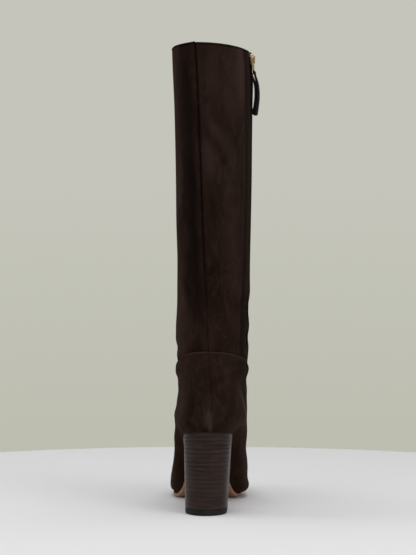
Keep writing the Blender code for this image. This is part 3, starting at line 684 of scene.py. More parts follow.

# Marks on the foot, partly brushed streaks and partly painted light: the counter's light streaks with
# painted highlight, painted shade beside the back and towards the zip, and lighter and darker places on the
# vamp's bend and the toe
UPPER_MARKS = (
    # around, reach, height, rise, tone, lean
    NapAndShadingMark(0.4, 1.2, 0.202, 0.020, 1.60, -1.5),
    NapAndShadingMark(359, 5.5, 0.226, 0.034, 0.42, -2.0),
    NapAndShadingMark(48, 6.0, 0.220, 0.046, 1.00, -8),
    NapAndShadingMark(340, 13, 0.250, 0.080, -0.30),
    NapAndShadingMark(62, 18, 0.280, 0.050, -0.50),
    NapAndShadingMark(306, 14, 0.300, 0.060, -0.16),
    NapAndShadingMark(150, 26, 0.150, 0.050, 0.24),
    NapAndShadingMark(212, 24, 0.130, 0.050, 0.20),
    NapAndShadingMark(180, 20, 0.075, 0.030, -0.25),
)


@dataclass(frozen=True)
class ToneLine:
    """A line in the suede's tone, lighter where its tone is plus and darker where it is minus; most are
    painted highlight and painted shade.
    """

    tone: float
    width: float

    def tones(self, offset: Array) -> Array:
        """How much the line lightens or darkens points at some offsets from it."""
        return self.tone * bell(offset, self.width)


# Distances under which points are one point, and an edge has no length
SAME_POINT = 1e-6
NO_LENGTH = 1e-7


def cleaned(mesh: Mesh, same: float) -> None:
    """Merge a mesh's doubled points, turn its faces outward and shade it smooth.

    Args:
        mesh: The mesh.
        same: The distance under which points are one.
    """
    work = bmesh.new()
    work.from_mesh(mesh)
    bmesh.ops.remove_doubles(work, verts=work.verts, dist=same)
    bmesh.ops.dissolve_degenerate(work, edges=work.edges, dist=NO_LENGTH)
    bmesh.ops.recalc_face_normals(work, faces=work.faces)
    work.to_mesh(mesh)
    work.free()
    mesh.shade_smooth()


def new_mesh(name: str, points: Array, faces: Sequence[Sequence[int]],
             kinds: Sequence[int] = (), sharp: float = 0.0) -> Mesh:
    """A smooth mesh whose faces all point outward.

    Args:
        name: The mesh's name.
        points: One point a row.
        faces: The faces, as numbers of points.
        kinds: Each face's material index, all 0 when left out.
        sharp: The angle in degrees from which an edge shows as sharp, none when left out.

    Returns:
        The mesh.
    """
    mesh = bpy.data.meshes.new(name)
    mesh.from_pydata(np.asarray(points).tolist(), [], [tuple(face) for face in faces])
    if len(kinds):
        mesh.polygons.foreach_set("material_index", np.asarray(kinds, dtype=np.int32))
    cleaned(mesh, SAME_POINT)
    if sharp:
        mesh.set_sharp_from_angle(angle=math.radians(sharp))
    return mesh


def new_piece(name: str, mesh: Mesh, finishes: Sequence[Material], body: Body,
              replaces: Sequence[str] = ()) -> bpy.types.Object:
    """Link a mesh as a piece of the boot, dressed and riding on its body.

    Args:
        name: The piece's name.
        mesh: Its mesh.
        finishes: Its materials, in the order of the mesh's material indices.
        body: The body that it rides on.
        replaces: The nodes that it stands for.

    Returns:
        The piece.
    """
    mesh.materials.clear()
    for finish in finishes:
        mesh.materials.append(finish)
    piece = bpy.data.objects.new(name, mesh)
    bpy.context.scene.collection.objects.link(piece)
    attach(piece, body.value)
    if replaces:
        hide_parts(*replaces)
    log.info("%s: %d faces", name, len(mesh.polygons))
    return piece


def grid_faces(rows: int, columns: int, start: int = 0, closed: bool = False) -> Faces:
    """Faces of a net whose points are numbered row by row.

    Args:
        rows: How many rows of points.
        columns: Points in each row.
        start: Number of the first point.
        closed: Whether each row closes on itself.

    Returns:
        Four numbers a face.
    """
    row, column = np.meshgrid(np.arange(rows - 1), np.arange(columns if closed else columns - 1),
                              indexing="ij")
    after = (column + 1) % columns
    low = start + row * columns
    high = low + columns
    faces = np.stack([low + column, low + after, high + after, high + column], axis=-1)
    return [tuple(face) for face in faces.reshape(-1, 4).tolist()]


def tube_faces(rings: int, sides: int, start: int = 0) -> Faces:
    """Faces of a tube of rings with a flat face over each end, its points numbered from start."""
    ends = [tuple(range(first, first + sides)) for first in (start, start + (rings - 1) * sides)]
    return grid_faces(rings, sides, start, closed=True) + ends


class Kind(Enum):
    """What a face of a leather shell shows."""

    NAP = 0
    LINING = 1
    EDGE = 2


# A rounded edge: shares of the way from the outer face to the inner, and of the full bulge
EDGE_BOWS = ((0.0, 0.0), (0.14, 0.72), (0.5, 1.0), (0.86, 0.72), (1.0, 0.0))

# Rows over which the bulge fades at the end of an edge
EDGE_FADE = 3.0


def leather_shell(name: str, outer: Array, inner: Array, is_open: Array, bulge: float
                  ) -> Mesh:
    """A closed mesh of leather and lining between two nets, slit along the zip.

    Args:
        name: The mesh's name.
        outer: The net of the outer face.
        inner: The net of the inner face.
        is_open: Whether the slot is open on each row.
        bulge: How far the cut edges round outward.

    Returns:
        The mesh, with a material index for leather, lining and edges.
    """
    rows, columns, _ = outer.shape
    points = [outer.reshape(-1, 3), inner.reshape(-1, 3)]
    faces = grid_faces(rows, columns) + grid_faces(rows, columns, rows * columns)
    each = (rows - 1) * (columns - 1)
    kinds = [Kind.NAP.value] * each + [Kind.LINING.value] * each
    first = max(int(np.flatnonzero(is_open)[0]) - 1, 0)
    sides = [
        (outer[0], inner[0], outer[0] - outer[1]),
        (outer[-1], inner[-1], outer[-1] - outer[-2]),
        (outer[first:, 0], inner[first:, 0], outer[first:, 0] - outer[first:, 1]),
        (outer[first:, -1], inner[first:, -1], outer[first:, -1] - outer[first:, -2]),
    ]
    for face_side, back_side, away in sides:
        row = np.arange(len(away))
        fade = np.clip(np.minimum(row, row[::-1]) / EDGE_FADE, 0.0, 1.0)
        away = unit_rows(away) * bulge * fade[:, None]
        strip = grid_faces(len(EDGE_BOWS), len(away), sum(len(part) for part in points))
        points += [face_side + (back_side - face_side) * share + away * bow for share, bow in EDGE_BOWS]
        faces += strip
        kinds += [Kind.EDGE.value] * len(strip)
    return new_mesh(name, np.concatenate(points), faces, kinds)


def lines_where(field: Array, points: Array, value: float) -> Array:
    """Where a field reaches a value on each of several lines of points.

    Args:
        field: One line a row, one value a point.
        points: Point and normal side by side, in the same layout.
        value: The value to reach.

    Returns:
        Point and normal side by side, one row a line.
    """
    orders = np.argsort(field, axis=1)
    return np.array([
        read_line(value, run[order], line[order]) for run, line, order in zip(field, points, orders)
    ])


@dataclass(frozen=True)
class StitchRow:
    """A row of single stitches, each a short bow of thread that dips into the leather."""

    pitch: float = 0.0026
    length: float = 0.0019
    thread: float = 0.00042
    lift: float = 0.00012
    dip: float = 0.9
    thinnest: float = 0.12
    sides: int = 6
    rings: int = 7
    look_ahead: float = 0.0001

    def mesh(self, name: str, lines: Sequence[Array]) -> Mesh:
        """One mesh of the stitches along several lines.

        Args:
            name: The mesh's name.
            lines: The lines, each with point and normal side by side, one row a place.

        Returns:
            The mesh.
        """
        angles = 2 * math.pi * np.arange(self.sides)[:, None] / self.sides
        rings: list[Array] = []
        faces: Faces = []
        for line in lines:
            run = run_along(line[:, :3])
            count = max(int(run[-1] / self.pitch), 1)
            for middle in (np.arange(count) + 0.5) * run[-1] / count:
                faces += tube_faces(self.rings, self.sides, self.sides * len(rings))
                for station in np.linspace(-1, 1, self.rings):
                    at = middle + station * self.length / 2
                    place, normal = np.split(read_line(at, run, line), 2)
                    normal = unit_rows(normal)
                    along = unit_rows(read_line(at + self.look_ahead, run, line[:, :3]) - place)
                    across = np.cross(along, normal)
                    radius = self.thread / 2 * math.sqrt(max(1 - station**4, self.thinnest))
                    rise = self.lift - self.thread * self.dip * station**4
                    ring = place + normal * (rise + radius * np.sin(angles))
                    rings.append(ring + across * radius * np.cos(angles))
        return new_mesh(name, np.concatenate(rings), faces)


class NodeTree:
    """Short ways to add the usual nodes to a tree."""

    def __init__(self, tree: bpy.types.NodeTree) -> None:
        """Take the tree."""
        self.tree = tree

    def feed(self, socket: Socket, value: object) -> None:
        """Link a socket into an input, or set the input to a plain value.

        Args:
            socket: The input.
            value: A socket, a number or a colour.
        """
        if isinstance(value, Socket):
            self.tree.links.new(value, socket)
        else:
            socket.default_value = (*value, 1.0) if socket.type == "RGBA" else value

    def node(self, kind: str, **inputs: object) -> bpy.types.Node:
        """A new node with some of its inputs linked or set.

        Args:
            kind: The node's type, without the words that all types begin with.
            inputs: Sockets and values, named with underscores for spaces.

        Returns:
            The node.
        """
        node = self.tree.nodes.new("ShaderNode" + kind)
        for name, value in inputs.items():
            self.feed(node.inputs[name.replace("_", " ")], value)
        return node

    def spread(self, value: Socket, low: float, high: float, to_low: float = 0.0,
               to_high: float = 1.0) -> Socket:
        """Spread a value from one range over another, held at both ends.

        Args:
            value: The value.
            low: Start of its range.
            high: End of its range.
            to_low: Start of the new range.
            to_high: End of the new range.

        Returns:
            The new value.
        """
        node = self.node("MapRange", Value=value, From_Min=low, From_Max=high, To_Min=to_low,
                         To_Max=to_high)
        return node.outputs["Result"]

    def sum(self, kind: str, *values: object) -> Socket:
        """A sum, product or other arithmetic.

        Args:
            kind: Blender's name for the operation.
            values: What goes in, sockets or numbers.

        Returns:
            The result.
        """
        node = self.node("Math")
        node.operation = kind
        for socket, value in zip(node.inputs, values):
            self.feed(socket, value)
        return node.outputs["Value"]

    def mix(self, share: object, first: object, second: object) -> Socket:
        """A colour between two others.

        Args:
            share: How far towards the second.
            first: The first colour.
            second: The second colour.

        Returns:
            The colour between.
        """
        node = self.node("Mix", Factor=share)
        node.data_type = "RGBA"
        low, high = (socket for socket in node.inputs if socket.type == "RGBA")
        self.feed(low, first)
        self.feed(high, second)
        return next(socket for socket in node.outputs if socket.type == "RGBA")


class Graph(NodeTree):
    """A material in the making: its shader and what is laid over it."""

    def __init__(self, name: str) -> None:
        """Start a material with its shader alone.

        Args:
            name: The material's name.
        """
        self.material = bpy.data.materials.new(name)
        self.material.use_nodes = True
        super().__init__(self.material.node_tree)
        self.shader = self.tree.nodes["Principled BSDF"]
        self.place = self.node("TexCoord").outputs["Object"]

    def set(self, **values: float | Colour) -> None:
        """Set the shader's own sockets, named with underscores for spaces."""
        for name, value in values.items():
            self.feed(self.shader.inputs[name.replace("_", " ")], value)

    def stretched(self, scale: Colour) -> Socket:
        """The piece's own coordinates, stretched along each axis."""
        return self.node("Mapping", Vector=self.place, Scale=scale).outputs["Vector"]

    def noise(self, scale: Colour, detail: float = 3.0, rough: float = 0.55,
              warp: float = 0.0) -> Socket:
        """Soft noise.

        Args:
            scale: Waves to the metre along each axis.
            detail: How many finer layers it has.
            rough: How strong the finer layers are.
            warp: How far it is stirred.

        Returns:
            The noise, 0 to 1.
        """
        node = self.node("TexNoise", Vector=self.stretched(scale), Scale=1.0, Detail=detail,
                         Roughness=rough, Distortion=warp)
        return node.outputs["Fac"]

    def cells(self, scale: float) -> Socket:
        """Distance to the nearest cell's middle, for grain and pores."""
        return self.node("TexVoronoi", Vector=self.stretched((scale,) * 3), Scale=1.0).outputs["Distance"]

    def waves(self, scale: float, direction: str) -> Socket:
        """Even bands, for weave and twisted thread.

        Args:
            scale: How close the bands lie.
            direction: Blender's name for the way they run.

        Returns:
            The bands, 0 to 1.
        """
        node = self.node("TexWave", Vector=self.stretched((scale,) * 3), Scale=1.0)
        node.bands_direction = direction
        return node.outputs["Fac"]

    def mark(self, name: str) -> Socket:
        """A value that the mesh carries at each point.

        Args:
            name: The value's name.

        Returns:
            The value.
        """
        node = self.node("Attribute")
        node.attribute_name = name
        return node.outputs["Fac"]

    def dress(self, heights: Sequence[tuple[Socket, float]], colour: Socket,
              roughness: Socket | None = None) -> Material:
        """Finish the material.

        Args:
            heights: Reliefs laid over each other, each with its depth in metres.
            colour: The colour.
            roughness: The roughness, left as it was set when none is given.

        Returns:
            The material.
        """
        relief: dict[str, Socket] = {}
        for height, depth in heights:
            node = self.node("Bump", Strength=1.0, Distance=depth, Height=height, **relief)
            relief = {"Normal": node.outputs["Normal"]}
        self.feed(self.shader.inputs["Normal"], relief["Normal"])
        self.feed(self.shader.inputs["Base Color"], colour)
        if roughness is not None:
            self.feed(self.shader.inputs["Roughness"], roughness)
        return self.material


@dataclass(frozen=True)
class Suede:
    """Brushed suede: dark where the fibres lie away, light where they stand up, with painted shade in
    creases and seams and painted highlight on swells and edges.
    """

    dark: Colour = (0.0100, 0.0050, 0.0034)
    light: Colour = (0.0320, 0.0162, 0.0112)
    # Colour of brushed streaks, and of the painted highlight laid where the mesh's shading value is plus
    stroke_and_highlight: Colour = (0.0530, 0.0325, 0.0275)
    # Colour of the painted shade laid where the mesh's shading value is minus: creases, hollows, seams and
    # the zip's facing
    crease: Colour = (0.0045, 0.0026, 0.0019)
    sheen: float = 0.06
    sheen_tint: Colour = (0.62, 0.40, 0.32)
    tuft_depth: float = 0.000352
    fibre_depth: float = 0.00022
    name: str = "suede"

    def material(self) -> Material:
        """The finish as a material.

        Returns:
            The material.
        """
        graph = Graph(self.name)
        graph.set(Roughness=0.95, Sheen_Weight=self.sheen, Sheen_Roughness=0.45,
                  Sheen_Tint=self.sheen_tint, Specular_IOR_Level=0.03)
        cloud = graph.noise((26.0, 26.0, 13.0), 5.0, 0.6, 0.6)
        hand = graph.noise((95.0, 95.0, 42.0), 4.0, 0.62, 1.2)
        fibre = graph.noise((1500.0, 1500.0, 950.0), 3.0, 0.7)
        tuft = graph.noise((420.0, 420.0, 240.0), 4.0, 0.7)
        base = graph.mix(graph.spread(cloud, 0.30, 0.70), self.dark, self.light)
        brushed = graph.mix(graph.spread(hand, 0.48, 0.76, 0.0, 0.62), base, self.stroke_and_highlight)
        speckled = graph.mix(graph.spread(fibre, 0.35, 0.70, 0.40, 0.0), brushed, self.dark)
        worn = graph.mix(graph.spread(tuft, 0.55, 0.80, 0.0, 0.30), speckled, self.light)
        # The mesh's value: plus mixes in painted highlight, minus mixes in painted shade
        nap_and_shading = graph.mark("nap_and_shading")
        lit = graph.mix(graph.spread(nap_and_shading, 0.0, 1.0, 0.0, 0.85), worn, self.stroke_and_highlight)
        colour = graph.mix(graph.spread(nap_and_shading, -0.05, -1.0, 0.0, 0.88), lit, self.crease)
        return graph.dress([(tuft, self.tuft_depth), (fibre, self.fibre_depth)], colour)


@dataclass(frozen=True)
class GrainLeather:
    """Smooth leather with a fine grain: lining, sole, strap or a raw edge."""

    name: str
    dark: Colour
    light: Colour
    roughness: tuple[float, float] = (0.45, 0.62)
    grain: float = 900.0
    depth: float = 0.00006
    coat: float = 0.0
    streak: Colour = (40.0, 40.0, 40.0)
    shine: float = 0.35

    def material(self) -> Material:
        """The finish as a material.

        Returns:
            The material.
        """
        graph = Graph(self.name)
        graph.set(Specular_IOR_Level=self.shine, Coat_Weight=self.coat, Coat_Roughness=0.25)
        cloud = graph.noise(self.streak, 5.0, 0.6, 0.4)
        pores = graph.cells(self.grain)
        fine = graph.noise((self.grain * 1.7,) * 3, 3.0, 0.6)
        base = graph.mix(graph.spread(cloud, 0.32, 0.68), self.dark, self.light)
        colour = graph.mix(graph.spread(fine, 0.35, 0.65, 0.22, 0.0), base, self.dark)
        roughness = graph.spread(cloud, 0.3, 0.7, *self.roughness)
        return graph.dress([(pores, self.depth), (fine, self.depth * 0.7)], colour, roughness)


@dataclass(frozen=True)
class StackedLeather:
    """Polished heel lifts, stained near black, with reddish streaks and a dark line at each joint."""

    dark: Colour = (0.0225, 0.0146, 0.0120)
    light: Colour = (0.0500, 0.0318, 0.0270)
    red: Colour = (0.0720, 0.0270, 0.0214)
    joint: Colour = (0.0040, 0.0030, 0.0028)
    roughness: tuple[float, float] = (0.26, 0.42)
    joint_share: float = 0.13
    joint_strength: float = 0.60
    name: str = "stacked_leather"

    def material(self) -> Material:
        """The finish as a material.

        Returns:
            The material.
        """
        graph = Graph(self.name)
        graph.set(Specular_IOR_Level=0.05, Coat_Weight=0.22, Coat_Roughness=0.07, Coat_IOR=1.35)
        layer = graph.noise((36.0, 36.0, 620.0), 4.0, 0.62, 0.3)
        stain = graph.noise((55.0, 55.0, 150.0), 4.0, 0.6, 0.8)
        fibre = graph.noise((420.0, 420.0, 2600.0), 3.0, 0.65)
        base = graph.mix(graph.spread(layer, 0.36, 0.66), self.dark, self.light)
        warm = graph.mix(graph.spread(stain, 0.52, 0.74, 0.0, 0.65), base, self.red)
        fleck = graph.mix(graph.spread(fibre, 0.36, 0.62, 0.45, 0.0), warm, self.dark)
        wave = graph.sum("FRACT", graph.mark("lift"))
        gap = graph.sum("ABSOLUTE", graph.sum("SUBTRACT", wave, 0.5))
        line = graph.spread(gap, 0.5 - self.joint_share, 0.5)
        colour = graph.mix(graph.sum("MULTIPLY", line, self.joint_strength), fleck, self.joint)
        heights = [
            (graph.sum("SUBTRACT", 1.0, line), 0.00005), (layer, 0.00002), (fibre, 0.00001),
        ]
        return graph.dress(heights, colour, graph.spread(stain, 0.3, 0.7, *self.roughness))


@dataclass(frozen=True)
class Metal:
    """Plated zip hardware, softly polished."""

    name: str = "light_gold"
    colour: Colour = (0.83, 0.62, 0.34)
    dimmest: float = 0.82
    roughness: tuple[float, float] = (0.16, 0.30)

    def material(self) -> Material:
        """The finish as a material.

        Returns:
            The material.
        """
        graph = Graph(self.name)
        graph.set(Metallic=1.0)
        smear = graph.noise((260.0, 260.0, 120.0), 4.0, 0.6, 0.5)
        fine = graph.noise((2400.0, 2400.0, 500.0), 2.0, 0.5)
        dim = tuple(part * self.dimmest for part in self.colour)
        colour = graph.mix(graph.spread(smear, 0.35, 0.7), self.colour, dim)
        return graph.dress([(fine, 0.00001)], colour, graph.spread(smear, 0.3, 0.7, *self.roughness))


@dataclass(frozen=True)
class Woven:
    """Zip tape or thread: bands of yarn in two directions."""

    name: str
    dark: Colour
    light: Colour
    pitch: float = 0.0006
    depth: float = 0.00012

    def material(self) -> Material:
        """The finish as a material.

        Returns:
            The material.
        """
        graph = Graph(self.name)
        graph.set(Roughness=0.85, Sheen_Weight=0.2, Specular_IOR_Level=0.2)
        turns = math.pi / (10.0 * self.pitch)
        yarn = graph.sum("MULTIPLY", graph.waves(turns, "Z"), graph.waves(turns, "DIAGONAL"))
        fuzz = graph.noise((900.0,) * 3, 3.0, 0.6)
        base = graph.mix(yarn, self.dark, self.light)
        colour = graph.mix(graph.spread(fuzz, 0.3, 0.7, 0.35, 0.0), base, self.dark)
        return graph.dress([(yarn, self.depth), (fuzz, self.depth * 0.4)], colour)


@dataclass(frozen=True)
class Moulded:
    """Rubber or plastic: plain colour with a worn, slightly dusty face."""

    name: str
    dark: Colour
    light: Colour
    roughness: tuple[float, float] = (0.45, 0.65)
    shine: float = 0.12

    def material(self) -> Material:
        """The finish as a material.

        Returns:
            The material.
        """
        graph = Graph(self.name)
        graph.set(Specular_IOR_Level=self.shine)
        dust = graph.noise((140.0,) * 3, 5.0, 0.65, 0.4)
        fine = graph.noise((1900.0,) * 3, 2.0, 0.5)
        colour = graph.mix(graph.spread(dust, 0.42, 0.75), self.dark, self.light)
        return graph.dress([(fine, 0.00003)], colour, graph.spread(dust, 0.3, 0.7, *self.roughness))


class Wardrobe:
    """Every finish of the boot, made once."""

    def __init__(self) -> None:
        """Make the materials."""
        self.suede = Suede().material()
        self.lining = GrainLeather("lining", (0.105, 0.062, 0.040), (0.170, 0.105, 0.070)).material()
        self.raw_edge = GrainLeather("raw_edge", (0.030, 0.020, 0.016), (0.085, 0.062, 0.050),
                                     (0.85, 0.95), 1500.0, 0.00012).material()
        self.sole = GrainLeather("sole_leather", (0.240, 0.108, 0.050), (0.360, 0.175, 0.090),
                                 (0.38, 0.55), 700.0, 0.00004, 0.15, (18.0, 60.0, 60.0)).material()
        self.sock = GrainLeather("sock", (0.150, 0.090, 0.055), (0.235, 0.150, 0.100)).material()
        self.heel = StackedLeather().material()
        self.rubber = Moulded("heel_rubber", (0.012, 0.011, 0.011), (0.030, 0.028, 0.027)).material()
        self.tape = Woven("zip_tape", (0.006, 0.004, 0.0035), (0.016, 0.011, 0.009)).material()
        self.thread = Woven("thread", (0.006, 0.0036, 0.003), (0.020, 0.013, 0.010), 0.0005,
                            0.00006).material()
        self.teeth = Moulded("zip_teeth", (0.010, 0.007, 0.006), (0.022, 0.016, 0.013),
                             (0.45, 0.60)).material()
        self.gold = Metal().material()
        self.strap = GrainLeather("strap_leather", (0.0075, 0.0050, 0.0042), (0.0190, 0.0125, 0.0105),
                                  (0.62, 0.80), 1300.0, 0.00005, shine=0.12).material()


def store(mesh: Mesh, name: str, points: Array, values: Array) -> None:
    """Store a value at each point of a mesh, taken from the nearest of some given points.

    Args:
        mesh: The mesh.
        name: The value's name.
        points: The given points, one a row.
        values: Their values.
    """
    tree = KDTree(len(points))
    for index, point in enumerate(points.tolist()):
        tree.insert(point, index)
    tree.balance()
    found = [tree.find(vertex.co)[1] for vertex in mesh.vertices]
    attribute = mesh.attributes.new(name, "FLOAT", "POINT")
    attribute.data.foreach_set("value", np.asarray(values, dtype=np.float32)[found])


@dataclass
class Skin:
    """A sheet of suede over the outer form, lined inside, with stitches through it."""

    form: OuterForm
    wardrobe: Wardrobe
    columns: int = 201
    fold_bead: float = 0.00035
    fold_place: float = 0.0014
    zip_stitch: float = 0.0032

    def dress(self, name: str, mesh: Mesh, nap_and_shading: Array, outer: Array,
              edge: Material) -> None:
        """Dress a leather shell that stands for the solid of the same name.

        Args:
            name: The solid's name.
            mesh: The shell.
            nap_and_shading: How the fibres lie at each point of the outer face, with painted highlight and
                painted shade laid over it.
            outer: The points of the outer face.
            edge: The finish of its cut edges.
        """
        # Store the fibres' lie with the painted highlight and painted shade, for the suede's colour
        store(mesh, "nap_and_shading", outer.reshape(-1, 3), nap_and_shading.reshape(-1))
        finishes = (self.wardrobe.suede, self.wardrobe.lining, edge)
        new_piece(name + "_leather", mesh, finishes, Body.BOOT, [name])

    def stitch(self, name: str, patch: Patch, face: Array, rows: Array,
               line: Array) -> None:
        """Sew a line of stitches, and one along each side of the zip.

        Args:
            name: The name of the solid that they are sewn to.
            patch: The leather's net.
            face: Point and normal side by side at each point of its outer face.
            rows: The rows of the net that the zip's stitches run over.
            line: Point and normal side by side along the other line.
        """
        lines = [line] + [
            lines_where(run[rows], face[rows], self.zip_stitch)
            for run in (patch.behind_zip, patch.ahead_of_zip)
        ]
        mesh = StitchRow().mesh(name + "_stitches", lines)
        new_piece(name + "_stitches", mesh, [self.wardrobe.thread], Body.BOOT)


@dataclass
class Shaft(Skin):
    """The tall leg of the boot, slit along the zip from top to bottom."""

    rows: int = 150
    rim_rows: tuple[float, ...] = (0.0012, 0.0030, 0.0045, 0.0080, 0.0110)
    seam_groove: float = 0.0010
    seam_groove_width: float = 0.00085
    seam_mound: float = 0.00030
    mound_place: float = 0.0024
    mound_width: float = 0.0018
    seam_hollow: float = 0.0012
    hollow_place: float = 0.0150
    hollow_width: float = 0.0100
    hollow_at_rim: float = 0.4
    hollow_fade: float = 0.05
    ridge_place: float = 0.0010
    ridge_width: float = 0.0060
    soft_below: float = 0.30
    soft_fade: float = 0.10
    softening: float = 0.55
    facing_width: float = 0.0190
    facing_step: float = 0.00045
    facing_edge: float = 0.0010
    rim_bead: float = 0.0016
    rim_line: float = 0.00035
    rim_line_width: float = 0.0005
    rim_roll: float = 0.0002
    plain_rim: float = 0.004
    crease_fade: float = 0.02
    edge_bulge: float = 0.0006
    stitch_back: float = 0.0030
    seam_peak: float = 0.0010
    peak_reach: float = 0.007
    peak_depth: float = 0.012
    inner_side_peak: float = 0.15
    # Painted shade in troughs and painted highlight on swells: the depth that gives their full tone, and
    # their limits
    shading_depth: float = 0.0016
    shading_limits: tuple[float, float] = (-0.5, 0.2)
    # Painted shade along the back seam, how much paler it is low on the leg, and its width
    seam_shade: float = -0.85
    seam_paling: float = 0.50
    seam_line_width: float = 0.0010
    # Painted shade: a line along the facing's step, over the whole facing, and deeper towards the zip from
    # a place over a width
    facing_step_shade: ToneLine = ToneLine(-0.90, 0.0009)
    facing_shade: float = -0.22
    zip_shade: float = -0.50
    zip_shade_place: float = 0.005
    zip_shade_fade: float = 0.007
    # A darker line along the rim
    rim_dark_line: ToneLine = ToneLine(-0.80, 0.0012)
    # Painted shade where the shaft steps in under the upper's lapped edge at the ankle seam
    ankle_step_shade: ToneLine = ToneLine(-0.60, 0.0011)

    def under_rim(self, patch: Patch) -> Array:
        """How far each point of a net lies under the rim."""
        return SIZES.boot_height - patch.points[..., 2]

    def softness(self, patch: Patch) -> Array:
        """How far the back seam has sunk into the leather, 0 high on the shaft and 1 low."""
        return ease((self.soft_below - patch.points[..., 2]) / self.soft_fade)

    def peak(self, patch: Patch) -> Array:
        """How far the rim stands up beside the back seam, most on its outer side.

        Args:
            patch: The net.

        Returns:
            Metres upward, one value a point.
        """
        side = np.where(patch.from_back < 0, 1.0, self.inner_side_peak)
        near_rim = ease(1 - self.under_rim(patch) / self.peak_depth)
        near_seam = np.exp(-np.abs(patch.from_back) / self.peak_reach)
        return self.seam_peak * side * near_seam * near_rim

    def relief(self, patch: Patch) -> Array:
        """How far each point of the leather stands out of the form.

        Args:
            patch: The net.

        Returns:
            Metres outward, one value a point.
        """
        back = patch.from_back
        rim = self.under_rim(patch)
        groove = self.seam_groove * (1 - self.softening * self.softness(patch))
        out = self.seam_mound * bell(np.abs(back) - self.mound_place, self.mound_width)
        out = out - groove * bell(back, self.seam_groove_width)
        full = self.hollow_at_rim + (1 - self.hollow_at_rim) * ease(rim / self.hollow_fade)
        hollow = self.seam_hollow * full
        out = out - hollow * bell(back + self.hollow_place, self.hollow_width)
        out = out + hollow / 2 * bell(back + self.ridge_place, self.ridge_width)
        out = out - self.facing_step * self.facing(patch)
        for run in (patch.behind_zip, patch.ahead_of_zip):
            out = out + self.fold_bead * bell(run - self.fold_place, self.fold_place)
        out = out - self.rim_line * bell(rim - self.rim_bead, self.rim_line_width)
        out = out + self.rim_roll * bell(rim, self.rim_bead)
        creases = sum(crease.relief(patch) for crease in SHAFT_CREASES)
        out = out + creases * ease((rim - self.plain_rim) / self.crease_fade)
        return out - SIZES.seam_step / 2 * np.exp(-np.abs(patch.over_seam) / SIZES.seam_step_fade)

    def facing(self, patch: Patch) -> Array:
        """1 on the facing behind the zip, and 0 on the rest of the leg."""
        return ease((self.facing_width - patch.behind_zip) / self.facing_edge + 0.5)

    def nap_and_shading(self, patch: Patch, relief: Array) -> Array:
        """How the fibres lie at each point, 1 brushed light and -1 pressed dark, with painted highlight and
        painted shade laid over them.

        Args:
            patch: The net.
            relief: How far each point stands out of the form.

        Returns:
            One value a point.
        """
        # Painted shade in creases and hollows, painted highlight on swells
        tone = np.clip(relief / self.shading_depth, *self.shading_limits)
        # Brushed streaks, with painted shade and painted highlight beside the back seam and at the sides
        tone = tone + sum(mark.tones(patch) for mark in SHAFT_MARKS)
        # Painted shade along the back seam, paler low on the leg
        seam_shade = self.seam_shade + self.seam_paling * self.softness(patch)
        tone = tone + seam_shade * bell(patch.from_back, self.seam_line_width)
        # Painted shade along the facing's step, over the facing and deepest towards the zip
        tone = tone + self.facing_step_shade.tones(patch.behind_zip - self.facing_width)
        shade_to_zip = self.zip_shade * ease((patch.behind_zip - self.zip_shade_place) / self.zip_shade_fade)
        tone = tone + (self.facing_shade + shade_to_zip) * self.facing(patch)
        # A darker line along the rim, and painted shade where the shaft steps in at the ankle seam
        tone = tone + self.rim_dark_line.tones(self.under_rim(patch))
        return tone + self.ankle_step_shade.tones(patch.over_seam)

    def build(self) -> None:
        """Build the leather and its stitches."""
        form = self.form
        low = form.places_at(SIZES.ankle_seam(form.turns) + SIZES.piece_gap / 2)
        high = np.full(form.columns, form.places[-1])
        rows = np.sort(np.append(np.linspace(0, 1, self.rows), 1 - np.array(self.rim_rows)))
        patch = form.patch(low, high, rows, self.columns, lambda height: SIZES.slot_width / 2)
        relief = self.relief(patch)
        patch.points[..., 2] += self.peak(patch)
        outer = patch.points + patch.normals * relief[..., None]
        inner = patch.points - patch.normals * (SIZES.shaft_wall + SIZES.seam_step / 4)
        is_open = np.ones(len(rows), dtype=bool)
        mesh = leather_shell("shaft_leather", outer, inner, is_open, self.edge_bulge)
        self.dress("shaft", mesh, self.nap_and_shading(patch, relief), outer, self.wardrobe.suede)
        every = np.arange(2, len(rows) - 2)
        face = np.concatenate([outer, patch.normals], axis=2)
        behind = self.facing_width + self.stitch_back
        line = lines_where(patch.behind_zip[every], face[every], behind)
        self.stitch("shaft", patch, face, every, line)


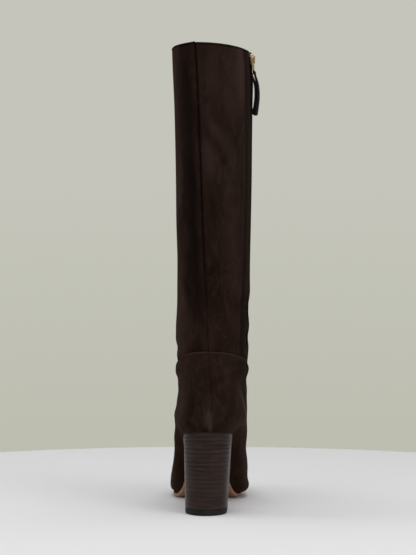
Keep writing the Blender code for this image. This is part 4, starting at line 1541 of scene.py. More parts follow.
@dataclass
class Upper(Skin):
    """The foot of the boot: counter, quarters and vamp in one skin, lapped over the shaft."""

    rows: int = 140
    row_crowding: float = 0.10
    edge_rows: tuple[float, ...] = (0.0015, 0.0032, 0.0050)
    seam_groove: float = 0.00045
    seam_groove_width: float = 0.00070
    seam_mound: float = 0.00025
    mound_place: float = 0.0022
    mound_width: float = 0.0016
    plain_foot: float = 0.0005
    relief_fade: float = 0.004
    edge_bulge: float = 0.00035
    stitch_drop: float = 0.0026
    sole_touch: float = 0.00005
    # Painted shade in troughs and painted highlight on swells: the depth that gives their full tone, and
    # their limits
    shading_depth: float = 0.0030
    shading_limits: tuple[float, float] = (-0.35, 0.15)
    # Painted shade along the back seam, painted highlight along the lapped edge at the ankle seam and how
    # far under the seam it lies, and a darker line along the stitches
    back_seam_shade: ToneLine = ToneLine(-0.10, 0.0008)
    edge_highlight: ToneLine = ToneLine(0.70, 0.0007)
    edge_place: float = -0.0005
    stitch_line: ToneLine = ToneLine(-0.50, 0.0008)
    slot_closed: float = 0.00001
    slot_full: float = 0.999

    def slot(self, height: float) -> float:
        """Half the zip slot's width at a height, round at its lower end."""
        share = min(max((height - SIZES.zip_bottom) / (SIZES.slot_width / 2), 0.0), 1.0)
        return SIZES.slot_width / 2 * math.sqrt(1 - (1 - share) ** 2)

    def relief(self, patch: Patch) -> Array:
        """How far each point of the leather stands out of the form.

        Args:
            patch: The net.

        Returns:
            Metres outward, one value a point.
        """
        out = -self.seam_groove * bell(patch.from_back, self.seam_groove_width)
        mound = bell(np.abs(patch.from_back) - self.mound_place, self.mound_width)
        out = out + self.seam_mound * mound
        open_part = ease((patch.open_slot / (SIZES.slot_width / 2))[:, None])
        for run in (patch.behind_zip, patch.ahead_of_zip):
            out = out + self.fold_bead * bell(run - self.fold_place, self.fold_place) * open_part
        out = out + sum(crease.relief(patch) for crease in ANKLE_CREASES)
        step = SIZES.seam_step / 2 * np.exp(-np.abs(patch.over_seam) / SIZES.seam_step_fade)
        over_sole = patch.points[..., 2] - SIZES.sole_top(patch.points[..., 1])
        return out * ease((over_sole - self.plain_foot) / self.relief_fade) + step

    def nap_and_shading(self, patch: Patch, relief: Array) -> Array:
        """How the fibres lie at each point, 1 brushed light and -1 pressed dark, with painted highlight and
        painted shade laid over them.

        Args:
            patch: The net.
            relief: How far each point stands out of the form.

        Returns:
            One value a point.
        """
        # Painted shade in creases and hollows, painted highlight on swells
        tone = np.clip(relief / self.shading_depth, *self.shading_limits)
        # Streaks on the counter, brushed and with painted highlight, and painted shade beside the back and
        # towards the zip
        tone = tone + sum(mark.tones(patch) for mark in UPPER_MARKS)
        # Painted shade along the back seam, painted highlight along the lapped edge, and a darker line
        # along the stitches
        tone = tone + self.back_seam_shade.tones(patch.from_back)
        tone = tone + self.edge_highlight.tones(patch.over_seam - self.edge_place)
        return tone + self.stitch_line.tones(patch.over_seam + self.stitch_drop)

    def build(self) -> None:
        """Build the leather and its stitches."""
        form = self.form
        high = form.places_at(SIZES.ankle_seam(form.turns) - SIZES.piece_gap / 2)
        even = np.linspace(0, 1, self.rows)
        rows = even - self.row_crowding * np.sin(2 * math.pi * even) / (2 * math.pi)
        rows = np.sort(np.append(rows, 1 - np.array(self.edge_rows)))
        patch = form.patch(np.zeros(form.columns), high, rows, self.columns, self.slot)
        relief = self.relief(patch)
        outer = patch.points + patch.normals * relief[..., None]
        outer[0, :, 2] -= SIZES.feather_gap - self.sole_touch
        inner = patch.points - patch.normals * (SIZES.foot_wall - SIZES.seam_step / 2)
        is_open = patch.open_slot > self.slot_closed
        mesh = leather_shell("upper_leather", outer, inner, is_open, self.edge_bulge)
        self.dress("upper", mesh, self.nap_and_shading(patch, relief), outer, self.wardrobe.raw_edge)
        full = SIZES.slot_width / 2 * self.slot_full
        wide_rows = np.flatnonzero(patch.open_slot > full)[:-2]
        face = np.concatenate([outer, patch.normals], axis=2)
        line = lines_where(patch.over_seam.T, face.swapaxes(0, 1), -self.stitch_drop)
        self.stitch("upper", patch, face, wide_rows, line)


def wall_depth(height: float) -> float:
    """How deep the inner face of the wall lies under the outer form along the zip.

    Args:
        height: Height over the ground.

    Returns:
        The depth in metres.
    """
    seam = float(SIZES.ankle_seam(np.array(0.25)))
    fade = np.exp(-np.abs(height - seam) / SIZES.seam_step_fade)
    foot = SIZES.foot_wall - SIZES.seam_step / 2 * fade
    if height > seam:
        return SIZES.shaft_wall + SIZES.seam_step / 2 * fade
    return max(foot, SIZES.shaft_wall + SIZES.seam_step / 2)


class ZipTrack:
    """The inner side of the leg along the zip, read by height and by offset from its middle."""

    def __init__(self, form: OuterForm, reach: float = 0.0122, below: float = 0.012,
                 steps: int = 9, rows: int = 130) -> None:
        """Measure the form along the zip.

        Args:
            form: The outer form.
            reach: How far to each side of the zip's middle.
            below: How far under the zip's lower end.
            steps: Readings across.
            rows: Readings along.
        """
        self.heights = np.linspace(SIZES.zip_bottom - below, SIZES.boot_height, rows)
        self.offsets = np.linspace(-reach, reach, steps)
        self.data = np.array([
            [np.concatenate(form.inner_side(SIZES.zip_y + offset, height)) for offset in self.offsets]
            for height in self.heights
        ])

    def at(self, offset: float, height: float, depth: float) -> Array:
        """A point on the zip or beside it.

        Args:
            offset: How far from the zip's middle, to the toe where plus.
            height: Height over the ground.
            depth: How deep under the outer form.

        Returns:
            The point.
        """
        at = np.interp(height, self.heights, np.arange(len(self.heights)))
        low = min(int(at), len(self.heights) - 2)
        row = self.data[low] * (low + 1 - at) + self.data[low + 1] * (at - low)
        place, normal = np.split(read_line(offset, self.offsets, row), 2)
        return place - unit_rows(normal) * depth


# A tooth's sections from its tip to its root: how far along it each stands, and its size there
TOOTH_SECTIONS = ((0.0, 0.55), (0.14, 1.0), (0.55, 0.86), (0.72, 0.62), (1.0, 0.70))

# The outline of a tooth's section: shares of its half height, and of the way through the chain
TOOTH_OUTLINE = (
    (-0.6, 0.0), (-1.0, 0.25), (-1.0, 0.75), (-0.6, 1.0),
    (0.6, 1.0), (1.0, 0.75), (1.0, 0.25), (0.6, 0.0),
)


@dataclass
class ZipFastener:
    """The closed zip: two woven tapes, two rows of moulded teeth and the metal stops."""

    track: ZipTrack
    wardrobe: Wardrobe
    tape_width: float = 0.0100
    tape_split: float = 0.0010
    tape_gap: float = 0.0005
    tape_thickness: float = 0.0007
    tape_tail: float = 0.006
    tooth_pitch: float = 0.0019
    tooth_reach: float = 0.0021
    tooth_overlap: float = 0.0007
    tooth_height: float = 0.00125
    tooth_half: float = 0.00057
    recess: float = 0.0004
    bottom_stop: float = 0.0024

    def build(self) -> None:
        """Build tapes and teeth, and dress the stops."""
        low = SIZES.zip_bottom - self.tape_tail
        high = SIZES.boot_height - self.tape_tail / 3
        heights = np.linspace(low, high, 110)
        for name, side in (("zip_tape_front", 1), ("zip_tape_back", -1)):
            mesh = self._tape(name + "_weave", side, heights)
            new_piece(name + "_weave", mesh, [self.wardrobe.tape], Body.BOOT, [name])
        teeth = self._teeth()
        new_piece("zip_teeth", teeth, [self.wardrobe.teeth], Body.BOOT, ["zip_chain"])
        for node in ("zip_stop_bottom", "zip_stop_top_front", "zip_stop_top_back"):
            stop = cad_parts[node]
            stop.data.materials.clear()
            stop.data.materials.append(self.wardrobe.gold)
            log.info("%s keeps its solid", node)

    def _tape(self, name: str, side: int, heights: Array) -> Mesh:
        """One tape.

        Args:
            name: The mesh's name.
            side: 1 for the front tape, -1 for the back one.
            heights: Where the tape is measured.

        Returns:
            The mesh.
        """
        offsets = side * (self.tape_split / 2 + self.tape_width * np.linspace(0.0, 1.0, 7))
        points = []
        for height in heights:
            face = wall_depth(height) + self.tape_gap
            points += [self.track.at(offset, height, face) for offset in offsets]
            back = face + self.tape_thickness
            points += [self.track.at(offset, height, back) for offset in offsets[::-1]]
        return new_mesh(name, np.array(points), tube_faces(len(heights), 2 * len(offsets)))

    def _teeth(self) -> Mesh:
        """Both rows of teeth, meshed along the zip's middle.

        Returns:
            One mesh of all teeth.
        """
        low = SIZES.zip_bottom + self.bottom_stop + 3 * SIZES.piece_gap
        high = SIZES.boot_height - SIZES.slider_drop - SIZES.slider_length - 2 * SIZES.piece_gap
        count = int((high - low) / self.tooth_pitch)
        points: list[Array] = []
        faces: Faces = []
        for index in range(2 * count):
            side = 1 if index % 2 else -1
            height = low + (index + 0.5) * (high - low) / (2 * count)
            faces += tube_faces(len(TOOTH_SECTIONS), len(TOOTH_OUTLINE), len(points))
            for share, size in TOOTH_SECTIONS:
                offset = side * (share * (self.tooth_reach + self.tooth_overlap) - self.tooth_overlap)
                for along, through in TOOTH_OUTLINE:
                    level = height + along * self.tooth_half * size
                    depth = self.recess + self.tooth_height * (0.5 + (through - 0.5) * size)
                    points.append(self.track.at(offset, level, depth))
        return new_mesh("zip_teeth", np.array(points), faces)


# The zip's small parts: steps in the arc at a corner, steps in the bevel of an edge, and the angle
# in degrees from which an edge shows as sharp
CORNER_STEPS = 6
BEVEL_STEPS = 3
PLATE_SHARP = 35.0


def rounded_outline(corners: Sequence[tuple[float, float]], radii: Sequence[float], steps: int
                    ) -> list[Vector]:
    """A flat outline whose corners are rounded by arcs.

    Args:
        corners: The corners in order.
        radii: One radius a corner.
        steps: Steps in each arc.

    Returns:
        The outline's points.
    """
    outline = []
    for index, place in enumerate(corners):
        corner = Vector(place)
        before = (Vector(corners[index - 1]) - corner).normalized()
        after = (Vector(corners[(index + 1) % len(corners)]) - corner).normalized()
        half = before.angle(after) / 2
        reach = radii[index] / math.tan(half)
        start = corner + before * reach
        end = corner + after * reach
        centre = corner + (before + after).normalized() * (radii[index] / math.sin(half))
        for step in range(steps + 1):
            spoke = (start - centre).lerp(end - centre, step / steps).normalized()
            outline.append(centre + spoke * radii[index])
    return outline


def box_outline(width: float, low: float, high: float, radius: float) -> list[Vector]:
    """An upright outline between two heights, centred across, with rounded corners."""
    corners = ((-width / 2, low), (width / 2, low), (width / 2, high), (-width / 2, high))
    return rounded_outline(corners, (radius,) * 4, CORNER_STEPS)


def plate(name: str, outlines: Sequence[Sequence[Vector]], thickness: float, bevel: float,
          turn: Matrix) -> Mesh:
    """A flat plate with holes and softly rounded edges, its thickness centred on its plane.

    Args:
        name: The mesh's name.
        outlines: The outer outline, then the holes.
        thickness: Its full thickness.
        bevel: Radius of its edges.
        turn: Where it stands.

    Returns:
        The mesh.
    """
    curve = bpy.data.curves.new(name, "CURVE")
    curve.dimensions = "2D"
    curve.fill_mode = "BOTH"
    curve.extrude = thickness / 2 - bevel
    curve.bevel_depth = bevel
    curve.bevel_resolution = BEVEL_STEPS
    curve.offset = -bevel
    for outline in outlines:
        spline = curve.splines.new("POLY")
        spline.points.add(len(outline) - 1)
        for point, place in zip(spline.points, outline):
            point.co = (place[0], place[1], 0.0, 1.0)
        spline.use_cyclic_u = True
    item = bpy.data.objects.new(name, curve)
    bpy.context.scene.collection.objects.link(item)
    bpy.context.view_layer.update()
    mesh = bpy.data.meshes.new_from_object(item.evaluated_get(bpy.context.evaluated_depsgraph_get()))
    bpy.data.objects.remove(item)
    bpy.data.curves.remove(curve)
    cleaned(mesh, NO_LENGTH)
    mesh.transform(turn)
    mesh.set_sharp_from_angle(angle=math.radians(PLATE_SHARP))
    return mesh


def joined(name: str, meshes: Sequence[Mesh]) -> Mesh:
    """One mesh of several.

    Args:
        name: The new mesh's name.
        meshes: The meshes, which are removed.

    Returns:
        The joined mesh.
    """
    work = bmesh.new()
    for mesh in meshes:
        work.from_mesh(mesh)
    whole = bpy.data.meshes.new(name)
    work.to_mesh(whole)
    work.free()
    for mesh in meshes:
        bpy.data.meshes.remove(mesh)
    return whole


# Turns of a flat plate: facing out of the leg, or square to it with its outline side on
UPRIGHT = Matrix(((0, 0, 1), (1, 0, 0), (0, 1, 0))).to_4x4()
SIDE_ON = Matrix(((1, 0, 0), (0, 0, -1), (0, 1, 0))).to_4x4()


def upright_plate(name: str, outline: Sequence[Vector], low: float, high: float,
                  bevel: float) -> Mesh:
    """A plate that faces out of the leg, between two distances from the outer form."""
    turn = Matrix.Translation(((low + high) / 2, 0, 0)) @ UPRIGHT
    return plate(name, [outline], high - low, bevel, turn)


@dataclass
class Slider:
    """The zip's slider: two plates on a neck, and the bridge for the pull."""

    form: OuterForm
    wardrobe: Wardrobe
    width: float = 0.0085
    top_width: float = 0.0058
    waist_rise: float = 0.00055
    corners: tuple[float, ...] = (0.0014, 0.0014, 0.0030, 0.0020, 0.0020, 0.0030)
    edge: float = 0.00045
    thickness: float = 0.0013
    stand: float = 0.0007
    neck_width: float = 0.0032
    neck_half: float = 0.00385
    neck_round: float = 0.0006
    neck_edge: float = 0.0001
    inner_thickness: float = 0.0008
    inner_half: float = 0.00495
    inner_round: float = 0.0016
    inner_edge: float = 0.0002
    bridge_width: float = 0.0022
    bridge_reach: float = 0.0028
    bridge_bar: float = 0.0009
    bridge_half: float = 0.0044
    bridge_round: float = 0.0012
    bridge_edge: float = 0.00025
    hole_round: float = 0.0005

    def stand_matrix(self) -> Matrix:
        """Where the slider stands: +X out of the leg, +Y to the toe, +Z up.

        Returns:
            The slider's matrix.
        """
        height = SIZES.boot_height - SIZES.slider_drop - SIZES.slider_length / 2
        point, normal = self.form.inner_side(SIZES.zip_y, height)
        out = Vector((normal[0], normal[1], 0.0)).normalized()
        up = Vector((0.0, 0.0, 1.0))
        place = Matrix((out, up.cross(out), up)).transposed().to_4x4()
        place.translation = Vector(point)
        return place

    def _bridge_outline(self, low: float, reach: float, half: float, radius: float) -> list[Vector]:
        """The outline of the bridge or of its hole, seen from the side."""
        corners = ((low, -half), (reach, -half), (reach, half), (low, half))
        return rounded_outline(corners, (0.0001, radius, radius, 0.0001), 8)

    def build(self) -> Matrix:
        """Build the slider.

        Returns:
            Its matrix, which the pull hangs from.
        """
        place = self.stand_matrix()
        half = SIZES.slider_length / 2
        side, low_side = self.width / 2, self.top_width / 2
        face = self.stand + self.thickness
        shoulder = rounded_outline(
            ((-low_side, -half), (low_side, -half), (side, self.waist_rise),
             (side, half), (-side, half), (-side, self.waist_rise)), self.corners, CORNER_STEPS,
        )
        outer = upright_plate("slider_outer", shoulder, self.stand, face, self.edge)
        inner_high = self.inner_thickness - SIZES.shaft_wall
        inner_width = SIZES.slot_width - 2 * SIZES.piece_gap
        inner = upright_plate(
            "slider_inner",
            box_outline(inner_width, -self.inner_half, self.inner_half, self.inner_round),
            -SIZES.shaft_wall, inner_high, self.inner_edge,
        )
        neck = upright_plate(
            "slider_neck",
            box_outline(self.neck_width, -self.neck_half, self.neck_half, self.neck_round),
            inner_high - self.inner_thickness / 2, face - self.thickness / 2, self.neck_edge,
        )
        reach = face + self.bridge_reach
        arch = self._bridge_outline(face - self.thickness / 2, reach, self.bridge_half,
                                    self.bridge_round)
        hole = self._bridge_outline(face - self.thickness / 8, reach - self.bridge_bar,
                                    self.bridge_half - self.bridge_bar, self.hole_round)
        bridge = plate("slider_bridge", [arch, hole], self.bridge_width, self.bridge_edge, SIDE_ON)
        mesh = joined("slider", [outer, inner, neck, bridge])
        mesh.transform(place)
        new_piece("slider", mesh, [self.wardrobe.gold], Body.BOOT, ["zip_slider"])
        return place


# The strap's middle line around the puller's foot: how far it stands out from the puller's plane as
# a share of its bow, and how far down it runs as a share of its length
STRAP_LINE = (
    # out, down
    (0.00, -0.0240), (-0.24, -0.0185), (-0.31, 0.0070), (-0.30, 0.0500), (-0.04, 0.1350),
    (0.34, 0.2600), (0.56, 0.4300), (0.57, 0.6100), (0.38, 0.8000), (0.17, 0.9350),
    (0.24, 0.9740), (0.39, 0.9880), (0.54, 0.9740), (0.61, 0.9350), (0.82, 0.7800),
    (1.00, 0.6000), (1.00, 0.4300), (0.80, 0.2400), (0.50, 0.1150), (0.35, 0.0480),
    (0.33, 0.0070), (0.24, -0.0185),
)


@dataclass
class Pull:
    """The hanging puller, and the leather strap folded through its foot."""

    wardrobe: Wardrobe
    slider: Slider
    thickness: float = 0.0011
    length: float = 0.0180
    top_width: float = 0.0062
    foot_width: float = 0.0092
    corners: tuple[float, ...] = (0.0012, 0.0012, 0.0020, 0.0020)
    edge: float = 0.0003
    bar: float = 0.0010
    eye_length: float = 0.0072
    eye_round: float = 0.0010
    foot_bar: float = 0.0019
    slot_round: float = 0.0005
    strap_width: float = 0.0060
    strap_thickness: float = 0.0015
    strap_length: float = 0.0440
    strap_bow: float = 0.0052
    strap_twist: float = math.radians(-16.0)
    strap_padding: float = 0.22
    padded_from: float = 0.1
    padded_over: float = 0.3
    strap_round: float = 0.0004125

    def build(self, place: Matrix) -> None:
        """Build puller and strap.

        Args:
            place: The slider's matrix.
        """
        slider = self.slider
        gap = SIZES.piece_gap
        out = slider.stand + slider.thickness + (slider.bridge_reach - slider.bridge_bar) / 2
        up = slider.bridge_half - slider.bridge_bar - gap - self.bar / 2
        hinge = place @ Matrix.Translation((out, 0.0, up))
        top = self.bar / 2
        bottom = top - self.length
        outline = rounded_outline(
            ((-self.foot_width / 2, bottom), (self.foot_width / 2, bottom),
             (self.top_width / 2, top), (-self.top_width / 2, top)), self.corners, 8,
        )
        eye_width = slider.bridge_width + 4 * gap
        eye = box_outline(eye_width, -self.bar / 2 - self.eye_length, -self.bar / 2,
                          self.eye_round)
        slot_low = bottom + self.foot_bar
        slot_high = slot_low + self.strap_thickness + 2 * gap
        slot = box_outline(self.strap_width + 2 * gap, slot_low, slot_high, self.slot_round)
        puller = plate("puller", [outline, eye, slot], self.thickness, self.edge, UPRIGHT)
        puller.transform(hinge)
        new_piece("puller", puller, [self.wardrobe.gold], Body.PULL, ["zip_pull"])
        strap = self._strap(slot_low)
        strap.transform(hinge)
        new_piece("pull_strap", strap, [self.wardrobe.strap], Body.PULL, ["zip_pull_tab"])

    def _twisted(self, point: Vector, slot_low: float) -> Vector:
        """A point of the strap, turned about an upright line by how far it hangs below the slot.

        Args:
            point: The point before the turn.
            slot_low: Height of the slot's lower edge.

        Returns:
            The turned point.
        """
        down = max((slot_low - point.z) / self.strap_length, 0.0)
        axis = Vector((self.strap_bow / 2, 0.0, 0.0))
        return axis + Matrix.Rotation(self.strap_twist * down, 3, "Z") @ (point - axis)

    def _strap(self, slot_low: float) -> Mesh:
        """The folded strap in the puller's own frame.

        Args:
            slot_low: Height of the slot's lower edge.

        Returns:
            The mesh.
        """
        places = [Vector((out * self.strap_bow, slot_low - down * self.strap_length))
                  for out, down in STRAP_LINE]
        line = closed_curve(places, 8)
        flat = self.strap_width / 2 - self.strap_round
        thick = self.strap_thickness / 2 - self.strap_round
        profile = []
        for quarter, (side, face) in enumerate(((1, -1), (1, 1), (-1, 1), (-1, -1))):
            for step in range(4):
                angle = math.pi / 2 * (quarter - 1 + step / 3)
                arc = self.strap_round * Vector((math.cos(angle), math.sin(angle)))
                profile.append(arc + Vector((side * flat, face * thick)))
        points = []
        for index, place in enumerate(line):
            run = (line[(index + 1) % len(line)] - line[index - 1]).normalized()
            square = Vector((run.y, -run.x))
            hang = (slot_low - place.y) / self.strap_length
            full = 1.0 + self.strap_padding * ease(
                (hang - self.padded_from) / self.padded_over)
            for across, through in profile:
                out = place + square * through * full
                points.append(self._twisted(Vector((out.x, -across, out.y)), slot_low))
        count = len(profile)
        faces = grid_faces(len(line) + 1, count, closed=True)
        faces = [tuple(number % (len(line) * count) for number in face) for face in faces]
        return new_mesh("pull_strap", np.array(points), faces)


def closed_curve(points: Sequence[Vector], steps: int) -> list[Vector]:
    """A smooth closed line through unevenly spaced points.

    Args:
        points: The points.
        steps: Places between one point and the next.

    Returns:
        The line's points.
    """
    count = len(points)
    spans = [(points[(index + 1) % count] - points[index]).length for index in range(count)]
    slopes = []
    for index in range(count):
        ahead = (points[(index + 1) % count] - points[index]) / spans[index]
        behind = (points[index] - points[index - 1]) / spans[index - 1]
        total = spans[index] + spans[index - 1]
        slopes.append((ahead * spans[index - 1] + behind * spans[index]) / total)
    line = []
    for index in range(count):
        after = (index + 1) % count
        for step in range(steps):
            start, leaving, end, reaching = curve_weights(step / steps)
            bend = (slopes[index] * leaving + slopes[after] * reaching) * spans[index]
            line.append(points[index] * start + points[after] * end + bend)
    return line


@dataclass
class Heel:
    """The stacked block heel and its rubber top piece."""

    wardrobe: Wardrobe
    lifts: int = 18
    level_lifts: int = 14
    groove: float = 0.00006
    round_steps: int = 64
    corner_steps: int = 6
    edge: float = 0.0008
    lift_parts: tuple[float, ...] = (0.0, 0.08, 0.5, 0.92)
    stack_sharp: float = 40.0
    piece_sharp: float = 50.0

    def outline(self, share: float, inset: float = 0.0) -> Array:
        """The heel's outline in plan.

        Args:
            share: 0 on the ground and 1 at the seat.
            inset: How far it is drawn in all round.

        Returns:
            One point a row.
        """
        sizes = SIZES
        ground = np.array([sizes.ground_back_width / 2, sizes.ground_front_width / 2,
                           sizes.ground_length, sizes.ground_round])
        seat = np.array([sizes.seat_back_width / 2, sizes.seat_front_width / 2,
                         sizes.seat_length, sizes.seat_round])
        back_half, front_half, length, depth = ground + share * (seat - ground) - inset
        back = sizes.heel_back + sizes.heel_setback * (1 - share / 2)
        front = back + length
        widest = back + inset + depth
        middle = sizes.heel_lean * share
        corners = ((middle - back_half, widest), (middle + back_half, widest),
                   (middle + front_half, front), (middle - front_half, front))
        radii = (0.0, 0.0, sizes.breast_corner, sizes.breast_corner)
        sides = rounded_outline(corners, radii, self.corner_steps)[2 * (self.corner_steps + 1):]
        turns = np.linspace(0.0, math.pi, self.round_steps + 1)
        round_back = np.column_stack([middle - back_half * np.cos(turns),
                                      widest - depth * np.sin(turns)])
        return np.concatenate([round_back, [tuple(point) for point in sides]])

    def build(self) -> None:
        """Build the stack and the top piece."""
        low = SIZES.top_piece_thickness + SIZES.piece_gap
        lift = (SIZES.heel_height - low) / self.lifts
        level = low + self.level_lifts * lift
        steps = [index + part for index in range(self.lifts) for part in self.lift_parts]
        rings = []
        for step in [*steps, self.lifts]:
            height = low + step * lift
            in_joint = step == int(step) and step < self.lifts
            flat = self.outline(height / SIZES.heel_height, self.groove if in_joint else 0.0)
            heights = np.full(len(flat), height)
            if step > self.level_lifts:
                share = (step - self.level_lifts) / (self.lifts - self.level_lifts)
                heights = level + share * (SIZES.seat_line(flat[:, 1]) - level)
            rings.append(np.column_stack([flat, heights]))
        faces = tube_faces(len(rings), len(rings[0]))
        mesh = new_mesh("heel_stack", np.concatenate(rings), faces, sharp=self.stack_sharp)
        marks = np.repeat([*steps, self.lifts], len(rings[0]))
        store(mesh, "lift", np.concatenate(rings), marks)
        new_piece("heel_stack", mesh, [self.wardrobe.heel], Body.BOOT, ["heel"])
        self._top_piece()

    def _top_piece(self) -> None:
        """Build the rubber top piece, its ground edge rounded."""
        thickness = SIZES.top_piece_thickness
        levels = ((0.0, self.edge), (self.edge * 0.3, self.edge * 0.3), (self.edge, 0.0),
                  (thickness - self.edge / 2, 0.0), (thickness, self.edge / 3))
        rings = []
        for height, inset in levels:
            flat = self.outline(height / SIZES.heel_height, inset)
            rings.append(np.column_stack([flat, np.full(len(flat), height)]))
        faces = tube_faces(len(rings), len(rings[0]))
        mesh = new_mesh("top_piece", np.concatenate(rings), faces, sharp=self.piece_sharp)
        new_piece("top_piece", mesh, [self.wardrobe.rubber], Body.BOOT,
                  ["heel_top_piece"])


@dataclass
class Bottom:
    """The thin leather sole and the sock that lines the inside over it."""

    form: OuterForm
    wardrobe: Wardrobe
    edge: float = 0.0002
    insole_clearance: float = 0.0006
    low_round: float = 0.0011
    high_round: float = 0.0005
    across: int = 14
    blunt_end: float = 0.004
    sharp: float = 60.0

    def feather(self, outward: float) -> Array:
        """The feather line in plan, moved square to itself.

        Args:
            outward: How far, inward where minus.

        Returns:
            One point a row.
        """
        flat = self.form.net[0][:, :2]
        run = unit_rows(np.roll(flat, -1, axis=0) - np.roll(flat, 1, axis=0))
        return flat + np.stack([run[:, 1], -run[:, 0]], axis=1) * outward

    def slab(self, name: str, outline: Array, start: float, low: Height, high: Height
             ) -> Mesh:
        """A closed slab inside an outline in plan, with rounded long edges.

        Args:
            name: The mesh's name.
            outline: The outline, one point a row.
            start: Where it begins along the foot.
            low: Height of its underside at a place along the foot.
            high: Height of its upper side.

        Returns:
            The mesh.
        """
        half = len(outline) // 2
        inner = outline[: half + 1]
        outer = outline[-np.arange(half + 1) % len(outline)]
        first = max(start, float(inner[0, 1]))
        last = float(inner[-1, 1])
        bend = np.linspace(0, math.pi / 2, 60)
        places = first + (last - first) * np.sin(bend)
        places = np.unique(np.concatenate([places, np.linspace(first, last - self.blunt_end, 70)]))
        points = []
        for y in places:
            edges = [np.interp(y, side[:, 1], side[:, 0]) for side in (inner, outer)]
            points.extend(self._section(edges[0], edges[1], y, float(low(y)), float(high(y))))
        count = len(points) // len(places)
        faces = grid_faces(len(places), count, closed=True)
        faces.append(tuple(range(count)))
        return new_mesh(name, np.array(points), faces, sharp=self.sharp)

    def _section(self, inner: float, outer: float, y: float, low: float, high: float
                 ) -> list[tuple[float, float, float]]:
        """One cross-section from the inner edge over the top to the outer edge and back.

        Args:
            inner: Place of the inner edge across the foot.
            outer: Place of the outer edge.
            y: Place along the foot.
            low: Height of the underside.
            high: Height of the upper side.

        Returns:
            The section's points.
        """
        width = inner - outer
        thick = high - low
        top = min(self.high_round, width / 3, thick / 3)
        bottom = min(self.low_round, width / 3, thick / 2)
        turns = np.linspace(0, math.pi / 2, 4)
        rise, fall = 1 - np.cos(turns), 1 - np.sin(turns)
        over = np.linspace(inner - top, outer + top, self.across)[1:-1]
        under = np.linspace(outer + bottom, inner - bottom, self.across)[1:-1]
        x = (inner - top * rise, over, outer + top * fall, outer + bottom * rise, under,
             inner - bottom * fall)
        z = (high - top * fall, high + 0 * over, high - top * rise, low + bottom * fall,
             low + 0 * under, low + bottom * rise)
        return [(across, y, up) for across, up in zip(np.concatenate(x), np.concatenate(z))]

    def build(self) -> None:
        """Build sole and sock."""
        sole = self.slab("sole", self.feather(self.edge), SIZES.breast + SIZES.piece_gap,
                         SIZES.sole_underside, SIZES.sole_top)
        new_piece("sole", sole, [self.wardrobe.sole], Body.BOOT, ["outsole"])
        inset = SIZES.foot_wall + self.insole_clearance
        low = SIZES.feather_gap
        sock = self.slab("sock", self.feather(-inset), -math.inf,
                         lambda y: SIZES.sole_top(y) + low,
                         lambda y: SIZES.sole_top(y) + low + SIZES.insole_thickness)
        new_piece("sock", sock, [self.wardrobe.sock], Body.BOOT, ["insole"])


@dataclass(frozen=True)
class SoftBox:
    """A rectangular soft light that faces a place on the boot."""

    name: str
    place: tuple[float, float, float]
    target: tuple[float, float, float]
    width: float
    height: float
    watts: float

    def build(self) -> None:
        """Hang the light."""
        light = bpy.data.lights.new(self.name, "AREA")
        light.shape = "RECTANGLE"
        light.size = self.width
        light.size_y = self.height
        light.energy = self.watts
        item = bpy.data.objects.new(self.name, light)
        item.location = self.place
        aim = Vector(self.target) - Vector(self.place)
        item.rotation_euler = aim.to_track_quat("-Z", "Y").to_euler()
        bpy.context.scene.collection.objects.link(item)


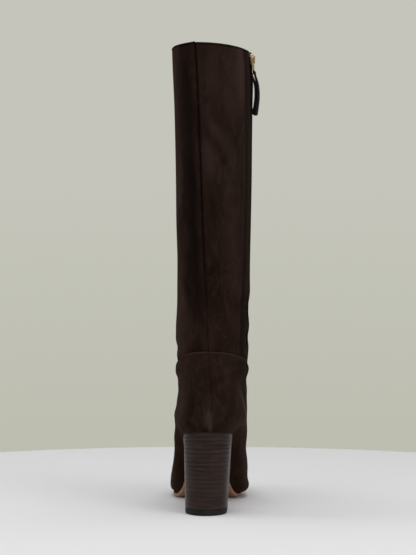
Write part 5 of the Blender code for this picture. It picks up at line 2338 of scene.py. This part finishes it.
@dataclass
class Studio:
    """Floor, light and camera."""

    floor_radius: float = 0.62
    floor_middle: tuple[float, float, float] = (0.0, -0.03, -0.0001)
    floor_colour: Colour = (0.90, 0.90, 0.92)
    wall_high: Colour = (0.558, 0.558, 0.497)
    wall_low: Colour = (0.510, 0.515, 0.435)
    wall_fade: tuple[float, float] = (-0.10, 0.06)
    glow_colour: Colour = (0.52, 0.51, 0.48)
    glow_strength: float = 0.42
    camera_place: tuple[float, float, float] = (0.0433, -1.512, 0.2371)
    aim: tuple[float, float, float] = (0.0020, 0.0, 0.2371)
    frame_height: int = 555
    focal_pixels: float = 1500.0
    sensor_height: float = 36.0
    nearest: float = 0.01
    boxes: tuple[SoftBox, ...] = (
        SoftBox("over", (0.0, -0.3, 1.9), (0.0, -0.15, 0.0), 1.8, 1.8, 24.5),
        SoftBox("left", (-1.5, 0.1, 0.7), (0.0, 0.0, 0.25), 0.7, 1.3, 5.0),
        SoftBox("right", (1.2, -1.0, 0.8), (0.0, 0.0, 0.25), 0.8, 1.3, 6.0),
    )

    def build(self) -> None:
        """Build the studio."""
        self._floor()
        for box in self.boxes:
            box.build()
        self._camera()
        self._world()
        bpy.context.scene.view_settings.view_transform = "Standard"

    def _world(self) -> None:
        """Show the wall's tone behind the boot, and light it by a dimmer glow from all sides."""
        world = bpy.data.worlds.new("studio")
        world.use_nodes = True
        graph = NodeTree(world.node_tree)
        view = graph.node("TexCoord").outputs["Generated"]
        rise = graph.spread(graph.node("SeparateXYZ", Vector=view).outputs["Z"], *self.wall_fade)
        wall = graph.node("Background", Color=graph.mix(rise, self.wall_low, self.wall_high))
        glow = graph.tree.nodes["Background"]
        graph.feed(glow.inputs["Color"], self.glow_colour)
        graph.feed(glow.inputs["Strength"], self.glow_strength)
        seen = graph.node("LightPath").outputs["Is Camera Ray"]
        both = graph.node("MixShader", Fac=seen)
        graph.feed(both.inputs[1], glow.outputs["Background"])
        graph.feed(both.inputs[2], wall.outputs["Background"])
        graph.feed(graph.tree.nodes["World Output"].inputs["Surface"], both.outputs["Shader"])
        bpy.context.scene.world = world

    def _floor(self) -> None:
        """Lay a round pale floor."""
        work = bmesh.new()
        bmesh.ops.create_circle(work, cap_ends=True, segments=160, radius=self.floor_radius)
        mesh = bpy.data.meshes.new("floor")
        work.to_mesh(mesh)
        work.free()
        mesh.transform(Matrix.Translation(self.floor_middle))
        graph = Graph("floor")
        graph.set(Base_Color=self.floor_colour, Roughness=0.8, Specular_IOR_Level=0.2)
        mesh.materials.append(graph.material)
        floor = bpy.data.objects.new("floor", mesh)
        bpy.context.scene.collection.objects.link(floor)

    def _camera(self) -> None:
        """Stand the camera where the photograph was taken from."""
        data = bpy.data.cameras.new("camera")
        data.sensor_fit = "VERTICAL"
        data.sensor_height = self.sensor_height
        data.lens = self.focal_pixels / self.frame_height * self.sensor_height
        data.clip_start = self.nearest
        camera = bpy.data.objects.new("camera", data)
        camera.location = self.camera_place
        aim = Vector(self.aim) - Vector(self.camera_place)
        camera.rotation_euler = aim.to_track_quat("-Z", "Y").to_euler()
        bpy.context.scene.collection.objects.link(camera)
        bpy.context.scene.camera = camera


def main() -> None:
    """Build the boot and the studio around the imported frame."""
    logging.basicConfig(level=logging.INFO, format="%(name)s %(message)s")
    wardrobe = Wardrobe()
    form = OuterForm()
    Upper(form, wardrobe).build()
    Shaft(form, wardrobe).build()
    ZipFastener(ZipTrack(form), wardrobe).build()
    slider = Slider(form, wardrobe)
    Pull(wardrobe, slider).build(slider.build())
    Heel(wardrobe).build()
    Bottom(form, wardrobe).build()
    Studio().build()


if __name__ == "__main__":
    main()
